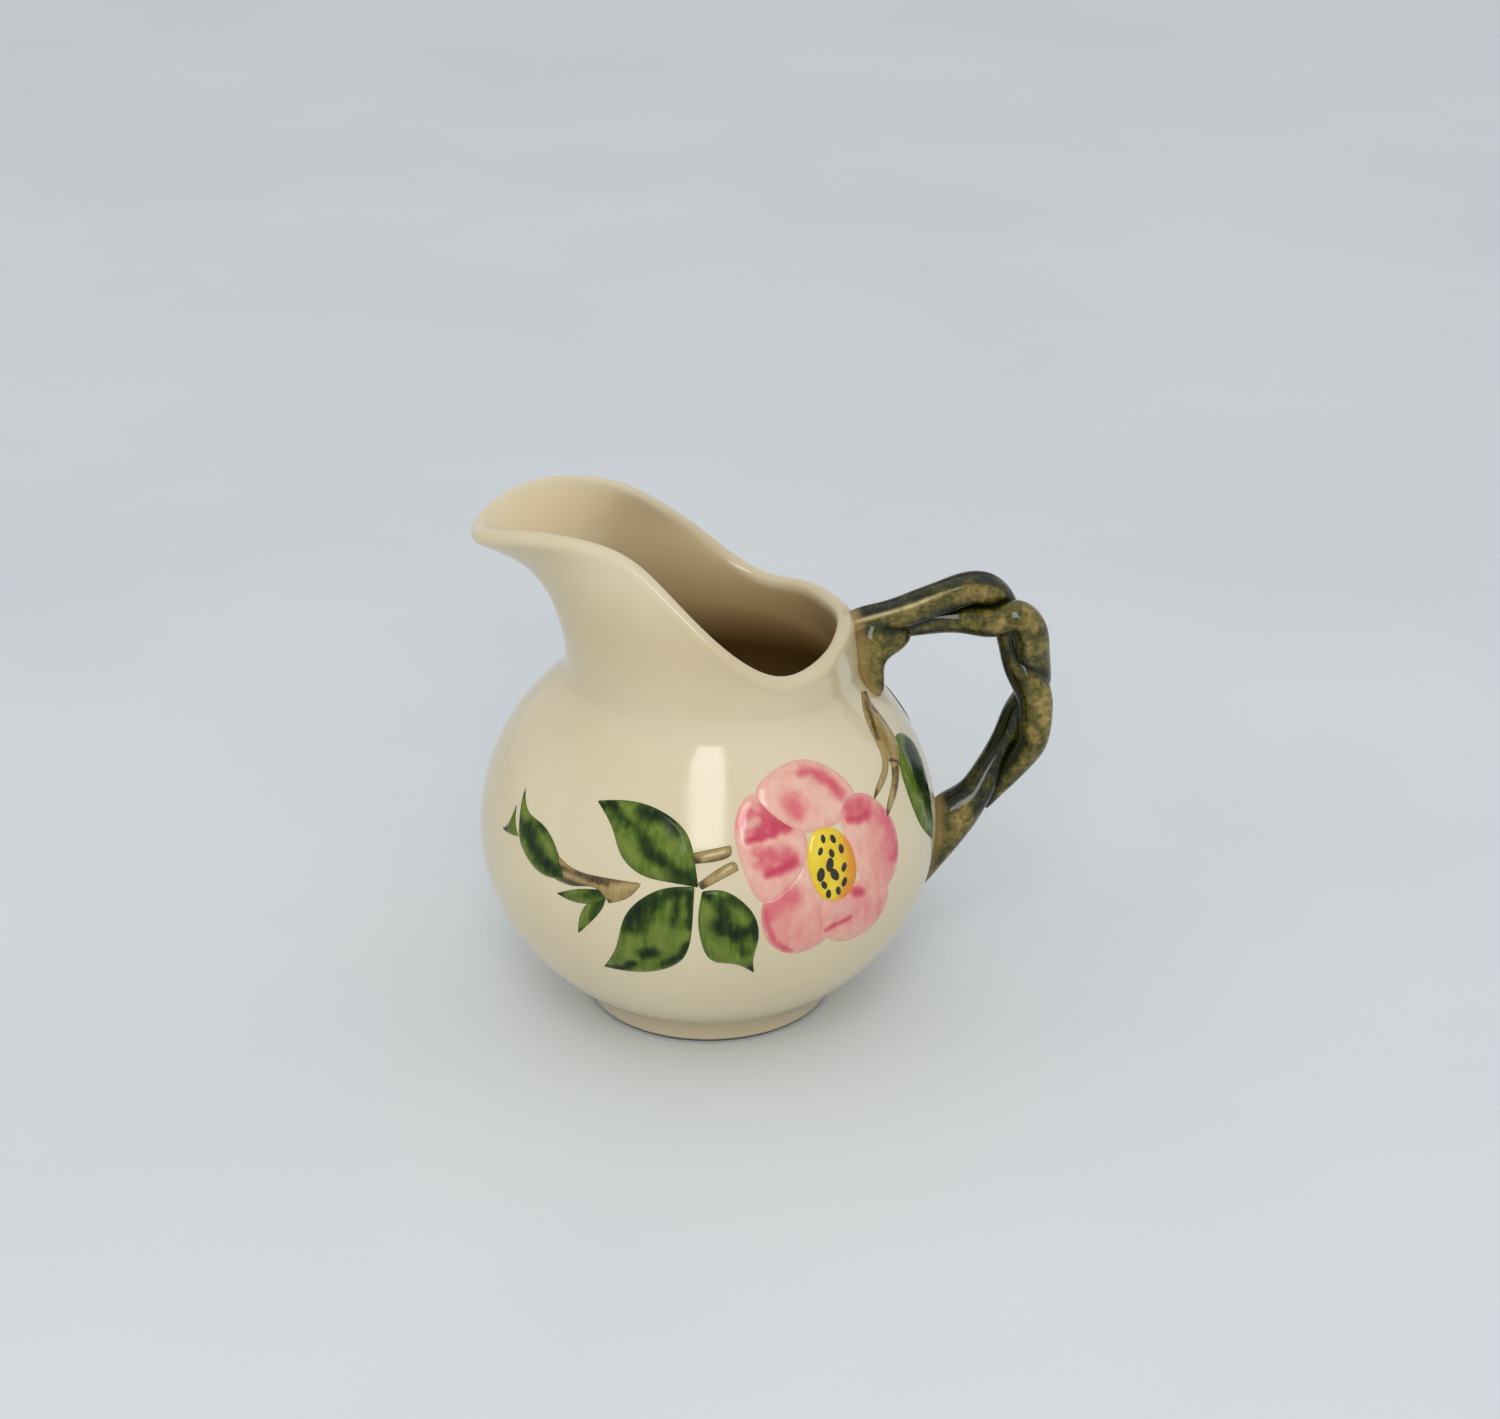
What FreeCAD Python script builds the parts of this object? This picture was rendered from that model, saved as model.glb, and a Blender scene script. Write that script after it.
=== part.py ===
"""Cream jug with an entwined twig handle and a raised wild rose on each side.

Frame: millimetres, +Z up, origin at the centre of the foot's resting plane, spout towards -X,
handle towards +X. The jug is mirror symmetric about the XZ plane, apart from the twigs' twist.
"""
import FreeCAD, Part
import Sketcher
import math
import os

Vector = FreeCAD.Vector

STATIONS = 16                   # azimuth stations of the freeform skin, counted from the handle
RELIEF_LEVELS = slice(2, 14)    # rings of the skin that the raised decoration may lie on, foot to neck

SIZES = {
    # thrown body
    "belly_radius": 45.0,
    "belly_centre_z": 37.07,
    "belly_rise": 40.9,       # vertical half axis above the widest ring
    "belly_drop": 39.33,      # and below it
    "neck_radius": 27.4,
    "neck_z": 72.0,
    "neck_dip": 2.5,          # the neck sits this much lower under the handle
    "neck_spread": 2.0,       # and this much further out there
    "neck_breadth": 2.6,      # the neck is this much wider across the jug
    "shoulder_z": 66.0,
    "wall": 3.6,
    "underside_z": 1.6,       # the underside is recessed inside the foot
    "underside_radius": 18.0,
    # rim: reach from the axis and height, every 22.5 degrees from the handle round to the spout
    "rim_reach_0": 28.5, "rim_height_0": 78.8,
    "rim_reach_1": 28.5, "rim_height_1": 78.0,
    "rim_reach_2": 30.5, "rim_height_2": 77.3,
    "rim_reach_3": 31.5, "rim_height_3": 76.2,
    "rim_reach_4": 32.2, "rim_height_4": 85.0,
    "rim_reach_5": 28.3, "rim_height_5": 94.7,
    "rim_reach_6": 28.8, "rim_height_6": 100.0,
    "rim_reach_7": 37.5, "rim_height_7": 100.5,
    "rim_reach_8": 43.9, "rim_height_8": 96.0,
    # foot ring
    "foot_radius": 24.4,
    "foot_width": 3.8,
    "foot_blend_z": 5.5,
    "foot_round": 0.7,
    # handle
    "twig_radius": 3.2,
    # raised decoration
    "relief": 0.55,
    "bead": 0.3,
    "stamp_depth": 2.6,       # reach of each outline's prism into the wall and out of it
    "stamen_radius": 0.75,
}

# Heights of the body's rings between the foot and the shoulder.
BELLY_RING_HEIGHTS = (4.2, 9.0, 15.5, 23.0, 31.0, 39.0, 47.0, 54.5, 60.5)
NECK_FILLET = (1.4, 2.9)        # how far out and down from the neck its lower fillet ring lies
FILLET_SHARE = 0.73             # how much of the neck's extra breadth reaches the fillet ring
UNDERSIDE_RISE = 0.2            # the underside's outer ring is this much higher than its middle
LIP_ROUNDING = ((0.36, 0.10), (0.55, 0.50), (0.36, 0.90))    # lip points, as wall thicknesses up and inwards

# The throat on the spout's side, as (fraction of the rise from neck to rim, fraction of the outward flare).
# Towards the handle it turns into a straight slope.
THROAT = ((0.20, 0.01), (0.42, 0.09), (0.62, 0.22), (0.80, 0.44), (0.92, 0.72), (1.00, 1.00))

# Twig centre lines, as (x, y, z, thickness in twig radii).
UPPER_TWIG = (
    (26.4, 0.0, 77.0, 0.76), (31.0, -0.4, 78.3, 0.95), (37.0, -0.9, 80.1, 0.99), (43.0, -1.3, 82.5, 1.00),
    (48.5, -1.3, 84.5, 1.02), (53.0, -0.3, 84.4, 1.00), (56.6, 1.4, 81.4, 0.98), (58.6, 2.0, 76.8, 0.97),
    (60.0, 0.9, 72.0, 1.01), (61.6, -0.6, 67.3, 1.08), (63.5, -1.8, 62.6, 1.09), (64.2, -2.0, 57.6, 1.05),
    (63.8, -1.9, 52.9, 0.97), (62.0, -1.2, 49.1, 0.86), (59.8, -0.2, 45.3, 0.74), (57.5, 0.6, 41.7, 0.60),
    (54.8, 0.8, 37.9, 0.42),
)
LOWER_TWIG = (
    (33.5, 0.4, 76.4, 0.85), (38.5, 1.0, 77.5, 0.92), (44.5, 1.3, 78.0, 0.95), (50.5, 0.2, 78.1, 0.98),
    (55.6, -1.6, 78.3, 1.00), (59.6, -2.4, 79.1, 1.04), (61.9, -2.7, 76.6, 1.10), (62.9, -1.5, 72.3, 1.12),
    (64.0, 0.0, 67.8, 0.99), (64.2, 1.2, 63.1, 0.92), (61.6, 2.2, 57.8, 0.92), (59.7, 2.4, 52.9, 0.87),
    (57.9, 1.9, 48.9, 0.87), (55.6, 0.9, 44.9, 0.95), (53.0, -0.2, 41.0, 1.06), (49.9, -0.7, 36.9, 1.22),
    (47.6, -0.6, 32.9, 1.12), (45.8, -0.3, 29.0, 0.92), (44.2, -0.1, 25.3, 0.68), (42.4, 0.0, 21.2, 0.34),
)
SIDE_SHOOT = (
    (33.6, -0.4, 77.6, 0.95), (32.7, -1.4, 74.6, 1.10), (31.6, -2.6, 71.2, 0.88), (31.6, -3.2, 67.6, 0.78),
    (32.2, -3.6, 65.0, 0.62), (32.9, -3.9, 63.4, 0.36),
)

# Raised decoration of the front face. Each piece has the azimuth in degrees and the height of its
# centre on the belly, the pieces that its edge tucks under, and its outline in millimetres in the
# tangent plane there (right, up). Each run of an outline starts at a corner; a single run is one
# smooth closed curve.
RELIEF = {
    "rose_eye": (-62, 45.5, (), (
        ((-4.6, 4.0), (-2.6, 7.0), (0.8, 7.2), (4.0, 4.6), (5.5, 0.6), (5.4, -3.4), (3.4, -6.6), (-0.4, -7.1),
         (-3.8, -4.6), (-5.0, -0.5)),)),
    "rose_petal_right": (-49, 47.5, ("rose_eye",), (
        ((-6.0, 4.0), (-4.2, 8.6), (0.7, 9.2), (4.6, 6.2), (7.2, 1.6), (7.8, -3.2), (6.4, -7.8), (3.4, -10.4),
         (-2.0, -9.0), (-5.0, -3.0)),)),
    "rose_petal_top": (-65, 58.0, ("rose_eye", "rose_petal_right"), (
        ((-9.6, 2.6), (-4.6, 6.4), (1.4, 7.1), (6.6, 4.4), (10.4, -1.4), (6.8, -5.6), (1.4, -6.8),
         (-4.0, -5.6)),)),
    "rose_petal_left": (-77, 51.0, ("rose_eye", "rose_petal_top"), (
        ((-2.4, 10.0), (2.8, 6.6), (6.6, 2.0), (6.6, -3.0), (3.4, -7.6), (-2.6, -10.2), (-5.8, -4.2),
         (-6.9, 3.0), (-5.4, 7.8)),)),
    "rose_petal_lower_right": (-56, 34.5, ("rose_eye", "rose_petal_right"), (
        ((-7.4, 5.4), (-1.0, 6.6), (6.4, 6.4), (9.4, 1.4), (7.6, -3.8), (2.6, -6.2), (-3.8, -5.2),
         (-7.4, -1.0)),)),
    "rose_petal_bottom": (-72, 37.0, ("rose_eye", "rose_petal_left", "rose_petal_lower_right"), (
        ((-6.4, 4.4), (-3.0, 8.6), (3.0, 9.6), (6.8, 5.0), (8.4, -1.0), (7.0, -5.8), (3.2, -8.0), (-1.2, -7.9),
         (-5.4, -4.6), (-7.0, 0.0)),)),
    "leaf_upper": (-109, 52.0, (), (
        ((-10.6, 6.4), (-6.8, 7.0), (-1.6, 7.0), (3.8, 5.3), (7.6, 2.2), (9.4, -2.4)),
        ((10.4, -7.4), (4.8, -7.0), (-0.4, -6.2), (-4.6, -3.0), (-6.8, 1.6)))),
    "leaf_lower_left": (-107, 34.0, (), (
        ((8.2, 10.6), (8.0, 4.6), (7.3, -1.2), (5.0, -5.6), (-0.7, -8.6), (-6.2, -9.5)),
        ((-10.2, -9.6), (-7.0, -3.4), (-5.4, 2.6), (-2.7, 6.8), (2.4, 10.0)))),
    "leaf_lower_right": (-88, 35.0, (), (
        ((-5.2, 8.8), (-1.8, 9.0), (1.8, 7.1), (4.8, 2.9), (5.2, -2.0), (4.4, -6.0)),
        ((4.8, -10.0), (0.8, -7.0), (-3.4, -5.9), (-5.6, -1.0), (-6.0, 4.0)))),
    "stem_upper": (-93, 50.5, ("leaf_upper",), (
        ((-4.4, -2.0), (4.0, -0.4)),
        ((4.1, 1.7),),
        ((-4.0, 0.1),))),
    "stem_lower": (-91, 46.5, ("leaf_upper",), (
        ((-3.8, -1.2), (3.2, 2.7)),
        ((4.0, 1.0),),
        ((-3.0, -2.6),))),
    "bud_calyx": (-141, 47.0, (), (
        ((-6.8, 8.6), (-5.4, 6.0), (-3.2, 4.3), (-0.4, 3.8), (2.8, 2.8), (6.4, -0.4)),
        ((9.0, -4.9), (3.0, -5.8), (-1.6, -4.2), (-4.8, -1.3), (-6.0, 2.2), (-6.8, 5.6)))),
    "bud_sepal": (-152, 47.5, ("bud_calyx",), (
        ((-3.4, -2.6), (-1.2, -0.8)),
        ((0.2, 4.3), (1.6, 0.4)),
        ((3.6, -1.6), (0.4, -2.4)))),
    "bud_twig": (-122, 43.0, ("bud_calyx",), (
        ((-9.4, 4.2), (-4.6, 1.9), (1.6, 1.6)),
        ((10.0, 1.9), (7.6, -1.4)),
        ((3.6, -3.4), (0.6, -1.0), (-3.8, -1.7)),
        ((-8.4, -1.6),))),
    "bud_leaf_side": (-124, 40.0, ("bud_twig",), (
        ((-6.8, -1.3), (-2.0, 0.9), (1.4, 1.8)),
        ((6.0, 2.6), (3.4, -0.4), (-2.2, -1.9)))),
    "bud_leaf_down": (-122, 37.0, ("bud_twig", "bud_leaf_side"), (
        ((3.2, 4.8), (2.6, 1.8), (-0.2, -2.2)),
        ((-3.6, -5.9), (-2.4, -0.6), (0.2, 2.8)))),
    "vine_stem": (-24, 62.0, (), (
        ((3.0, 7.8), (-1.6, 4.8), (-4.7, 0.6), (-5.6, -4.2)),
        ((-2.2, -7.4), (1.8, -4.0), (2.8, 1.0), (4.2, 5.2)),
        ((5.8, 7.0),))),
    "vine_twig_left": (-36, 57.5, ("vine_stem",), (
        ((2.8, 5.8), (2.0, 2.8), (0.4, 0.2), (-3.4, -1.9)),
        ((-6.4, -4.4), (-2.4, -3.2), (2.4, -0.6), (4.0, 2.6)))),
    "vine_twig_right": (-35, 53.5, ("vine_stem", "vine_twig_left"), (
        ((3.0, 5.4), (1.4, 2.4), (-3.2, -1.4)),
        ((-6.4, -5.0), (-1.4, -2.4), (3.9, 1.4), (5.6, 4.6)))),
    "vine_leaf": (-20, 50.5, ("vine_stem",), (
        ((-2.0, 10.2), (2.6, 9.8), (6.4, 6.3), (6.4, 2.0), (4.2, -3.4), (2.4, -8.0)),
        ((1.4, -13.0), (-2.6, -9.8), (-5.6, -6.2), (-6.9, -0.6), (-5.6, 5.4)))),
}

# Stamens on the rose's eye, as (right, up) of the eye's tangent plane.
STAMENS = (
    (-1.2, 5.4), (0.9, 4.9), (-2.2, 3.3), (0.1, 2.4), (2.3, 2.7), (2.4, -0.8), (0.2, -1.7), (-2.7, -1.0),
    (-0.6, 0.4), (-2.2, -3.1), (2.2, -3.6), (-1.4, -5.0), (0.7, -4.9),
)


def make_sheet(doc):
    """Put the driving dimensions into a spreadsheet, one alias each."""
    sheet = doc.addObject("Spreadsheet::Sheet", "sizes")
    for row, (alias, value) in enumerate(SIZES.items(), start=1):
        sheet.set("A%d" % row, alias)
        sheet.set("B%d" % row, str(value))
        sheet.setAlias("B%d" % row, alias)
    doc.recompute()
    return sheet


# ---------------------------------------------------------------- freeform skin of the body

def belly_radius_at(sheet, height):
    """Radius of the belly's spheroid at a height."""
    above = height - sheet.belly_centre_z
    half_axis = sheet.belly_rise if above > 0 else sheet.belly_drop
    return sheet.belly_radius * math.sqrt(1 - (above / half_axis) ** 2)


def meridian(sheet, station):
    """Outer profile of one azimuth station from the underside to the rim, as (radius, height)."""
    side = min(station, STATIONS - station)
    azimuth = station * 2 * math.pi / STATIONS
    handle_side = (1 + math.cos(azimuth)) / 2
    dip = sheet.neck_dip * handle_side
    widening = sheet.neck_breadth * math.sin(azimuth) ** 2
    narrow_neck = sheet.neck_radius + sheet.neck_spread * handle_side
    neck = narrow_neck + widening
    neck_z = sheet.neck_z - dip
    shoulder_z = sheet.shoulder_z - dip
    flare = sheet.get("rim_reach_%d" % side) - neck
    rise = sheet.get("rim_height_%d" % side) - neck_z
    profile = [(sheet.underside_radius * 2 / 3, sheet.underside_z)]
    profile.append((sheet.underside_radius, sheet.underside_z + UNDERSIDE_RISE))
    profile += [(belly_radius_at(sheet, height), height) for height in BELLY_RING_HEIGHTS]
    profile.append((belly_radius_at(sheet, shoulder_z), shoulder_z))
    profile.append((narrow_neck + NECK_FILLET[0] + FILLET_SHARE * widening, neck_z - NECK_FILLET[1]))
    profile.append((neck, neck_z))
    for risen, flared in THROAT:
        spread = flared + (risen - flared) * handle_side
        profile.append((neck + flare * spread, neck_z + rise * risen))
    return profile


def directions(profile):
    """Unit direction of travel along a profile at each of its points."""
    last = len(profile) - 1
    result = []
    for index in range(len(profile)):
        before, after = profile[max(index - 1, 0)], profile[min(index + 1, last)]
        run, rise = after[0] - before[0], after[1] - before[1]
        length = math.hypot(run, rise)
        result.append((run / length, rise / length))
    return result


def step(point, direction, forward, inward):
    """A point moved along the profile's direction and towards the inside of the wall."""
    run, rise = direction
    return (point[0] + run * forward - rise * inward, point[1] + rise * forward + run * inward)


def wall_profile(sheet, station):
    """The whole wall of one station: up the outside, over the rounded lip, down the inside."""
    outside = meridian(sheet, station)
    travel = directions(outside)
    wall = sheet.wall
    lip, lip_travel = outside[-1], travel[-1]
    inside = [step(point, along, 0, wall) for point, along in zip(outside, travel)]
    rounding = [step(lip, lip_travel, forward * wall, inward * wall) for forward, inward in LIP_ROUNDING]
    return outside + rounding + inside[::-1]


def relief_profile(sheet, station, growth):
    """The outside of one station from the foot to the neck, grown outwards, then closed by a level ring."""
    outside = meridian(sheet, station)
    travel = directions(outside)
    grown = [step(point, along, 0, -growth) for point, along in zip(outside, travel)]
    closing_ring = (sheet.underside_radius, sheet.neck_z + NECK_FILLET[1])
    return grown[RELIEF_LEVELS] + [closing_ring]


def smooth_poles(net):
    """Control points of a uniform cubic surface that passes through a net of points."""
    columns = len(net[0])
    around = [[ring[k] - (ring[k - 1] - ring[k] * 2 + ring[(k + 1) % columns]) / 6 for k in range(columns)]
              for ring in net]
    inner = []
    for below, ring, above in zip(around, around[1:], around[2:]):
        inner.append([ring[k] - (below[k] - ring[k] * 2 + above[k]) / 6 for k in range(columns)])
    return [around[0]] + inner + [around[-1]]


def solid_of_profiles(profiles):
    """Closed solid whose side runs through the stations' profiles and whose two ends are flat discs."""
    net = []
    for level in zip(*profiles):
        ring = []
        for station, (radius, height) in enumerate(level):
            azimuth = 2 * math.pi * station / STATIONS
            ring.append(Vector(radius * math.cos(azimuth), radius * math.sin(azimuth), height))
        net.append(ring)
    poles = smooth_poles(net)
    columns = [[level[station] for level in poles] for station in range(STATIONS)]
    spans = len(net) - 3
    side = Part.BSplineSurface()
    side.buildFromPolesMultsKnots(
        columns,
        [1] * (STATIONS + 1), [4] + [1] * (spans - 1) + [4],
        list(range(STATIONS + 1)), list(range(spans + 1)),
        True, False, 3, 3)
    skin = side.toShape()
    discs = [Part.Face(Part.Wire(edge)) for edge in skin.Edges if edge.isClosed()]
    closed = Part.makeCompound([skin] + discs)
    closed.sewShape()
    return Part.makeSolid(closed.Shells[0])


def make_body(doc, sheet):
    """The thrown wall: belly, neck, swept rim and pouring lip, with a recessed underside."""
    body = doc.addObject("Part::Feature", "jug_body")
    body.Shape = solid_of_profiles([wall_profile(sheet, station) for station in range(STATIONS)])
    return body


def make_grown_belly(doc, sheet, name, growth):
    """The belly's outside grown by a relief height: the outer limit of a raised layer."""
    grown = doc.addObject("Part::Feature", name)
    grown.Shape = solid_of_profiles([relief_profile(sheet, station, growth) for station in range(STATIONS)])
    return grown


# ---------------------------------------------------------------- foot ring

def origin_plane(body, role):
    """One of a body's own origin planes."""
    return next(feature for feature in body.Origin.OriginFeatures if feature.Role == role)


def draw_foot_section(body, sheet):
    """The foot's rectangular section in the XZ plane, standing on the X axis."""
    sketch = body.newObject("Sketcher::SketchObject", "foot_section")
    sketch.AttachmentSupport = [(origin_plane(body, "XZ_Plane"), "")]
    sketch.MapMode = "FlatFace"
    outer, top = sheet.foot_radius, sheet.foot_blend_z
    inner = outer - sheet.foot_width
    corners = [Vector(inner, 0, 0), Vector(outer, 0, 0), Vector(outer, top, 0), Vector(inner, top, 0)]
    for index, corner in enumerate(corners):
        sketch.addGeometry(Part.LineSegment(corner, corners[(index + 1) % 4]), False)
    for index, kind in enumerate(("Horizontal", "Vertical", "Horizontal", "Vertical")):
        sketch.addConstraint(Sketcher.Constraint("Coincident", index, 2, (index + 1) % 4, 1))
        sketch.addConstraint(Sketcher.Constraint(kind, index))
    sketch.addConstraint(Sketcher.Constraint("PointOnObject", 0, 1, -1))
    driven = {
        "foot_radius": Sketcher.Constraint("DistanceX", -1, 1, 0, 2, outer),
        "foot_width": Sketcher.Constraint("DistanceX", 0, 1, 0, 2, outer - inner),
        "foot_blend_z": Sketcher.Constraint("DistanceY", 1, 1, 1, 2, top),
    }
    for alias, constraint in driven.items():
        sketch.setExpression("Constraints[%d]" % sketch.addConstraint(constraint), "sizes." + alias)
    return sketch


def make_foot(doc, sheet, jug_body):
    """Turned ring under the belly, rounded where it rests and cut away where the belly passes through."""
    body = doc.addObject("PartDesign::Body", "foot_blank")
    ring = body.newObject("PartDesign::Revolution", "foot_turning")
    ring.Profile = draw_foot_section(body, sheet)
    ring.ReferenceAxis = (ring.Profile[0], ["V_Axis"])
    ring.Angle = 360
    doc.recompute()
    resting = ["Edge%d" % number for number, edge in enumerate(ring.Shape.Edges, start=1)
               if edge.isClosed() and edge.BoundBox.ZMax < 0.01]
    rounding = body.newObject("PartDesign::Fillet", "foot_rounding")
    rounding.Base = (ring, resting)
    rounding.setExpression("Radius", "sizes.foot_round")
    doc.recompute()
    return cut(doc, "foot_ring", body, [jug_body])


# ---------------------------------------------------------------- booleans and twigs

def cut(doc, label, base, tools):
    """A piece with its neighbours' space taken out of it."""
    for index, tool in enumerate(tools):
        piece = doc.addObject("Part::Cut", "%s_cut_%d" % (label, index))
        piece.Base = base
        piece.Tool = tool
        piece.Refine = False    # merging the faces that a cut splits would tear the lofted skins
        base = piece
    base.Label = label
    return base


def make_twig(doc, name, path):
    """A round twig lofted through circles across its centre line."""
    sections = []
    points = [Vector(x, y, z) for x, y, z, _ in path]
    for index, (x, y, z, thickness) in enumerate(path):
        along = points[min(index + 1, len(path) - 1)] - points[max(index - 1, 0)]
        across = Vector(0, 1, 0)
        section = doc.addObject("Part::Circle", "%s_section_%d" % (name, index))
        section.setExpression("Radius", "sizes.twig_radius * %.2f" % thickness)
        turned = FreeCAD.Rotation(across.cross(along), across, along, "ZYX")
        section.Placement = FreeCAD.Placement(points[index], turned)
        sections.append(section)
    twig = doc.addObject("Part::Loft", name)
    twig.Sections = sections
    twig.Solid = True
    return twig


# ---------------------------------------------------------------- raised decoration

def tangent_frame(sheet, azimuth, height):
    """Placement on the belly: x to the right, y up and z outwards, seen from outside."""
    radius = belly_radius_at(sheet, height)
    above = height - sheet.belly_centre_z
    half_axis = sheet.belly_rise if above > 0 else sheet.belly_drop
    turn = math.radians(azimuth)
    point = Vector(radius * math.cos(turn), radius * math.sin(turn), height)
    outward = Vector(point.x, point.y, above * (sheet.belly_radius / half_axis) ** 2)
    right = Vector(-math.sin(turn), math.cos(turn), 0)
    up = outward.cross(right)
    return FreeCAD.Placement(point, FreeCAD.Rotation(right, up, outward, "ZXY"))


def outline_face(runs):
    """Flat face inside an outline made of runs that start at its corners."""
    runs = [[Vector(x, y, 0) for x, y in run] for run in runs]
    if len(runs) == 1:
        curve = Part.BSplineCurve()
        curve.interpolate(Points=runs[0], PeriodicFlag=True)
        return Part.Face(Part.Wire(curve.toShape()))
    edges = []
    for index, run in enumerate(runs):
        points = run + [runs[(index + 1) % len(runs)][0]]
        if len(points) == 2:
            edges.append(Part.makeLine(points[0], points[1]))
        else:
            curve = Part.BSplineCurve()
            curve.interpolate(Points=points)
            edges.append(curve.toShape())
    return Part.Face(Part.Wire(edges))


def make_stamp(doc, name, face, placement):
    """A prism through the wall's outside, along the outward direction at the piece's centre."""
    outline = doc.addObject("Part::Feature", name + "_outline")
    outline.Shape = face
    outline.Placement = placement
    stamp = doc.addObject("Part::Extrusion", name + "_stamp")
    stamp.Base = outline
    stamp.DirMode = "Normal"
    stamp.setExpression("LengthFwd", "sizes.stamp_depth * 2")
    stamp.Symmetric = True
    stamp.Solid = True
    return stamp


def make_common(doc, name, base, tool):
    piece = doc.addObject("Part::Common", name)
    piece.Base = base
    piece.Tool = tool
    return piece


def make_relief(doc, sheet, layer):
    """Every raised piece of the front face, each cut to meet the pieces that it tucks under."""
    stamps, pieces = {}, []
    for name, (azimuth, height, over, runs) in RELIEF.items():
        stamps[name] = make_stamp(doc, name, outline_face(runs), tangent_frame(sheet, azimuth, height))
        raised = make_common(doc, name + "_raised", stamps[name], layer)
        pieces.append(cut(doc, name, raised, [stamps[neighbour] for neighbour in over]))
        pieces[-1].Label = name
    return pieces


def make_stamens(doc, sheet, layer):
    """The stamens' heads, one group of beads on the eye."""
    azimuth, height = RELIEF["rose_eye"][:2]
    beads = [Part.Face(Part.Wire(Part.makeCircle(sheet.stamen_radius, Vector(x, y, 0)))) for x, y in STAMENS]
    stamp = make_stamp(doc, "rose_stamens", Part.makeCompound(beads), tangent_frame(sheet, azimuth, height))
    stamens = make_common(doc, "rose_stamens_raised", stamp, layer)
    stamens.Label = "rose_stamens"
    return stamens


def mirror_to_back(doc, piece):
    """The same piece on the other face of the jug."""
    mirrored = doc.addObject("Part::Mirroring", piece.Name + "_mirror")
    mirrored.Source = piece
    mirrored.Normal = Vector(0, 1, 0)
    mirrored.Label = piece.Label + "_back"
    return mirrored


def build(doc):
    """Make every sub-part and return them."""
    sheet = make_sheet(doc)
    jug_body = make_body(doc, sheet)
    foot = make_foot(doc, sheet, jug_body)
    upper = make_twig(doc, "upper_twig_blank", UPPER_TWIG)
    lower = make_twig(doc, "lower_twig_blank", LOWER_TWIG)
    shoot = make_twig(doc, "side_shoot_blank", SIDE_SHOOT)
    handle = [
        cut(doc, "handle_upper_twig", upper, [jug_body]),
        cut(doc, "handle_lower_twig", lower, [jug_body, upper]),
        cut(doc, "handle_side_shoot", shoot, [jug_body, upper, lower]),
    ]
    relief_limit = make_grown_belly(doc, sheet, "relief_limit", sheet.relief)
    bead_limit = make_grown_belly(doc, sheet, "bead_limit", sheet.relief + sheet.bead)
    relief_layer = cut(doc, "relief_layer", relief_limit, [jug_body])
    bead_layer = cut(doc, "bead_layer", bead_limit, [relief_limit])
    front = make_relief(doc, sheet, relief_layer)
    front.append(make_stamens(doc, sheet, bead_layer))
    back = [mirror_to_back(doc, piece) for piece in front]
    return [jug_body, foot] + handle + front + back


def check(doc, subparts):
    """Stop if any object failed or any sub-part is empty or invalid."""
    failed = [item.Name for item in doc.Objects if "Invalid" in item.State or "Error" in item.State]
    failed += [part.Label for part in subparts if part.Shape.isNull() or not part.Shape.isValid()]
    if failed:
        raise RuntimeError("failed: " + ", ".join(failed))


def main():
    doc = FreeCAD.newDocument("cream_jug")
    subparts = build(doc)
    doc.recompute()
    check(doc, subparts)
    os.makedirs("parts", exist_ok=True)
    for part in subparts:
        part.Shape.exportStep("parts/%s.step" % part.Label)
        print("%-28s %9.1f mm3 %2d solids" % (part.Label, part.Shape.Volume, len(part.Shape.Solids)))


main()
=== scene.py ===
"""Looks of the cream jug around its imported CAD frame.

Tables are in millimetres, in the CAD's own frame (+Z up, spout towards -X, handle towards +X), and
MM turns them into Blender's metres. Every piece is built here as a fine mesh that stands for the
CAD node of the same place and size.
"""
import math

import bpy
import numpy as np
from mathutils import Matrix, Vector, noise
from mathutils.bvhtree import BVHTree
from mathutils.geometry import delaunay_2d_cdt


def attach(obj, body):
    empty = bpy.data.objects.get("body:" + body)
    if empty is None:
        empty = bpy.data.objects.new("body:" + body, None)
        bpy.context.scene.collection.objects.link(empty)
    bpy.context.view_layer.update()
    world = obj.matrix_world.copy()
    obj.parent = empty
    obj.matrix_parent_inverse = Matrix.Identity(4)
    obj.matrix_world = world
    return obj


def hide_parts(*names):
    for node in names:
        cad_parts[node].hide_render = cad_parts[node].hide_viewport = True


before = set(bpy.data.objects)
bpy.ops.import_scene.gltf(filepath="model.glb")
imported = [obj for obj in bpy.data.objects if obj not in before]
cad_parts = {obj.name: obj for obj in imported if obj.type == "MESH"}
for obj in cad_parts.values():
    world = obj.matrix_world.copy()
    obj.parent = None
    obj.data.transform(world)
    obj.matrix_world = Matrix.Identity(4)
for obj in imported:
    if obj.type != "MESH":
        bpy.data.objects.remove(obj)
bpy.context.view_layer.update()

MM = 0.001
scene = bpy.context.scene

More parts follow.
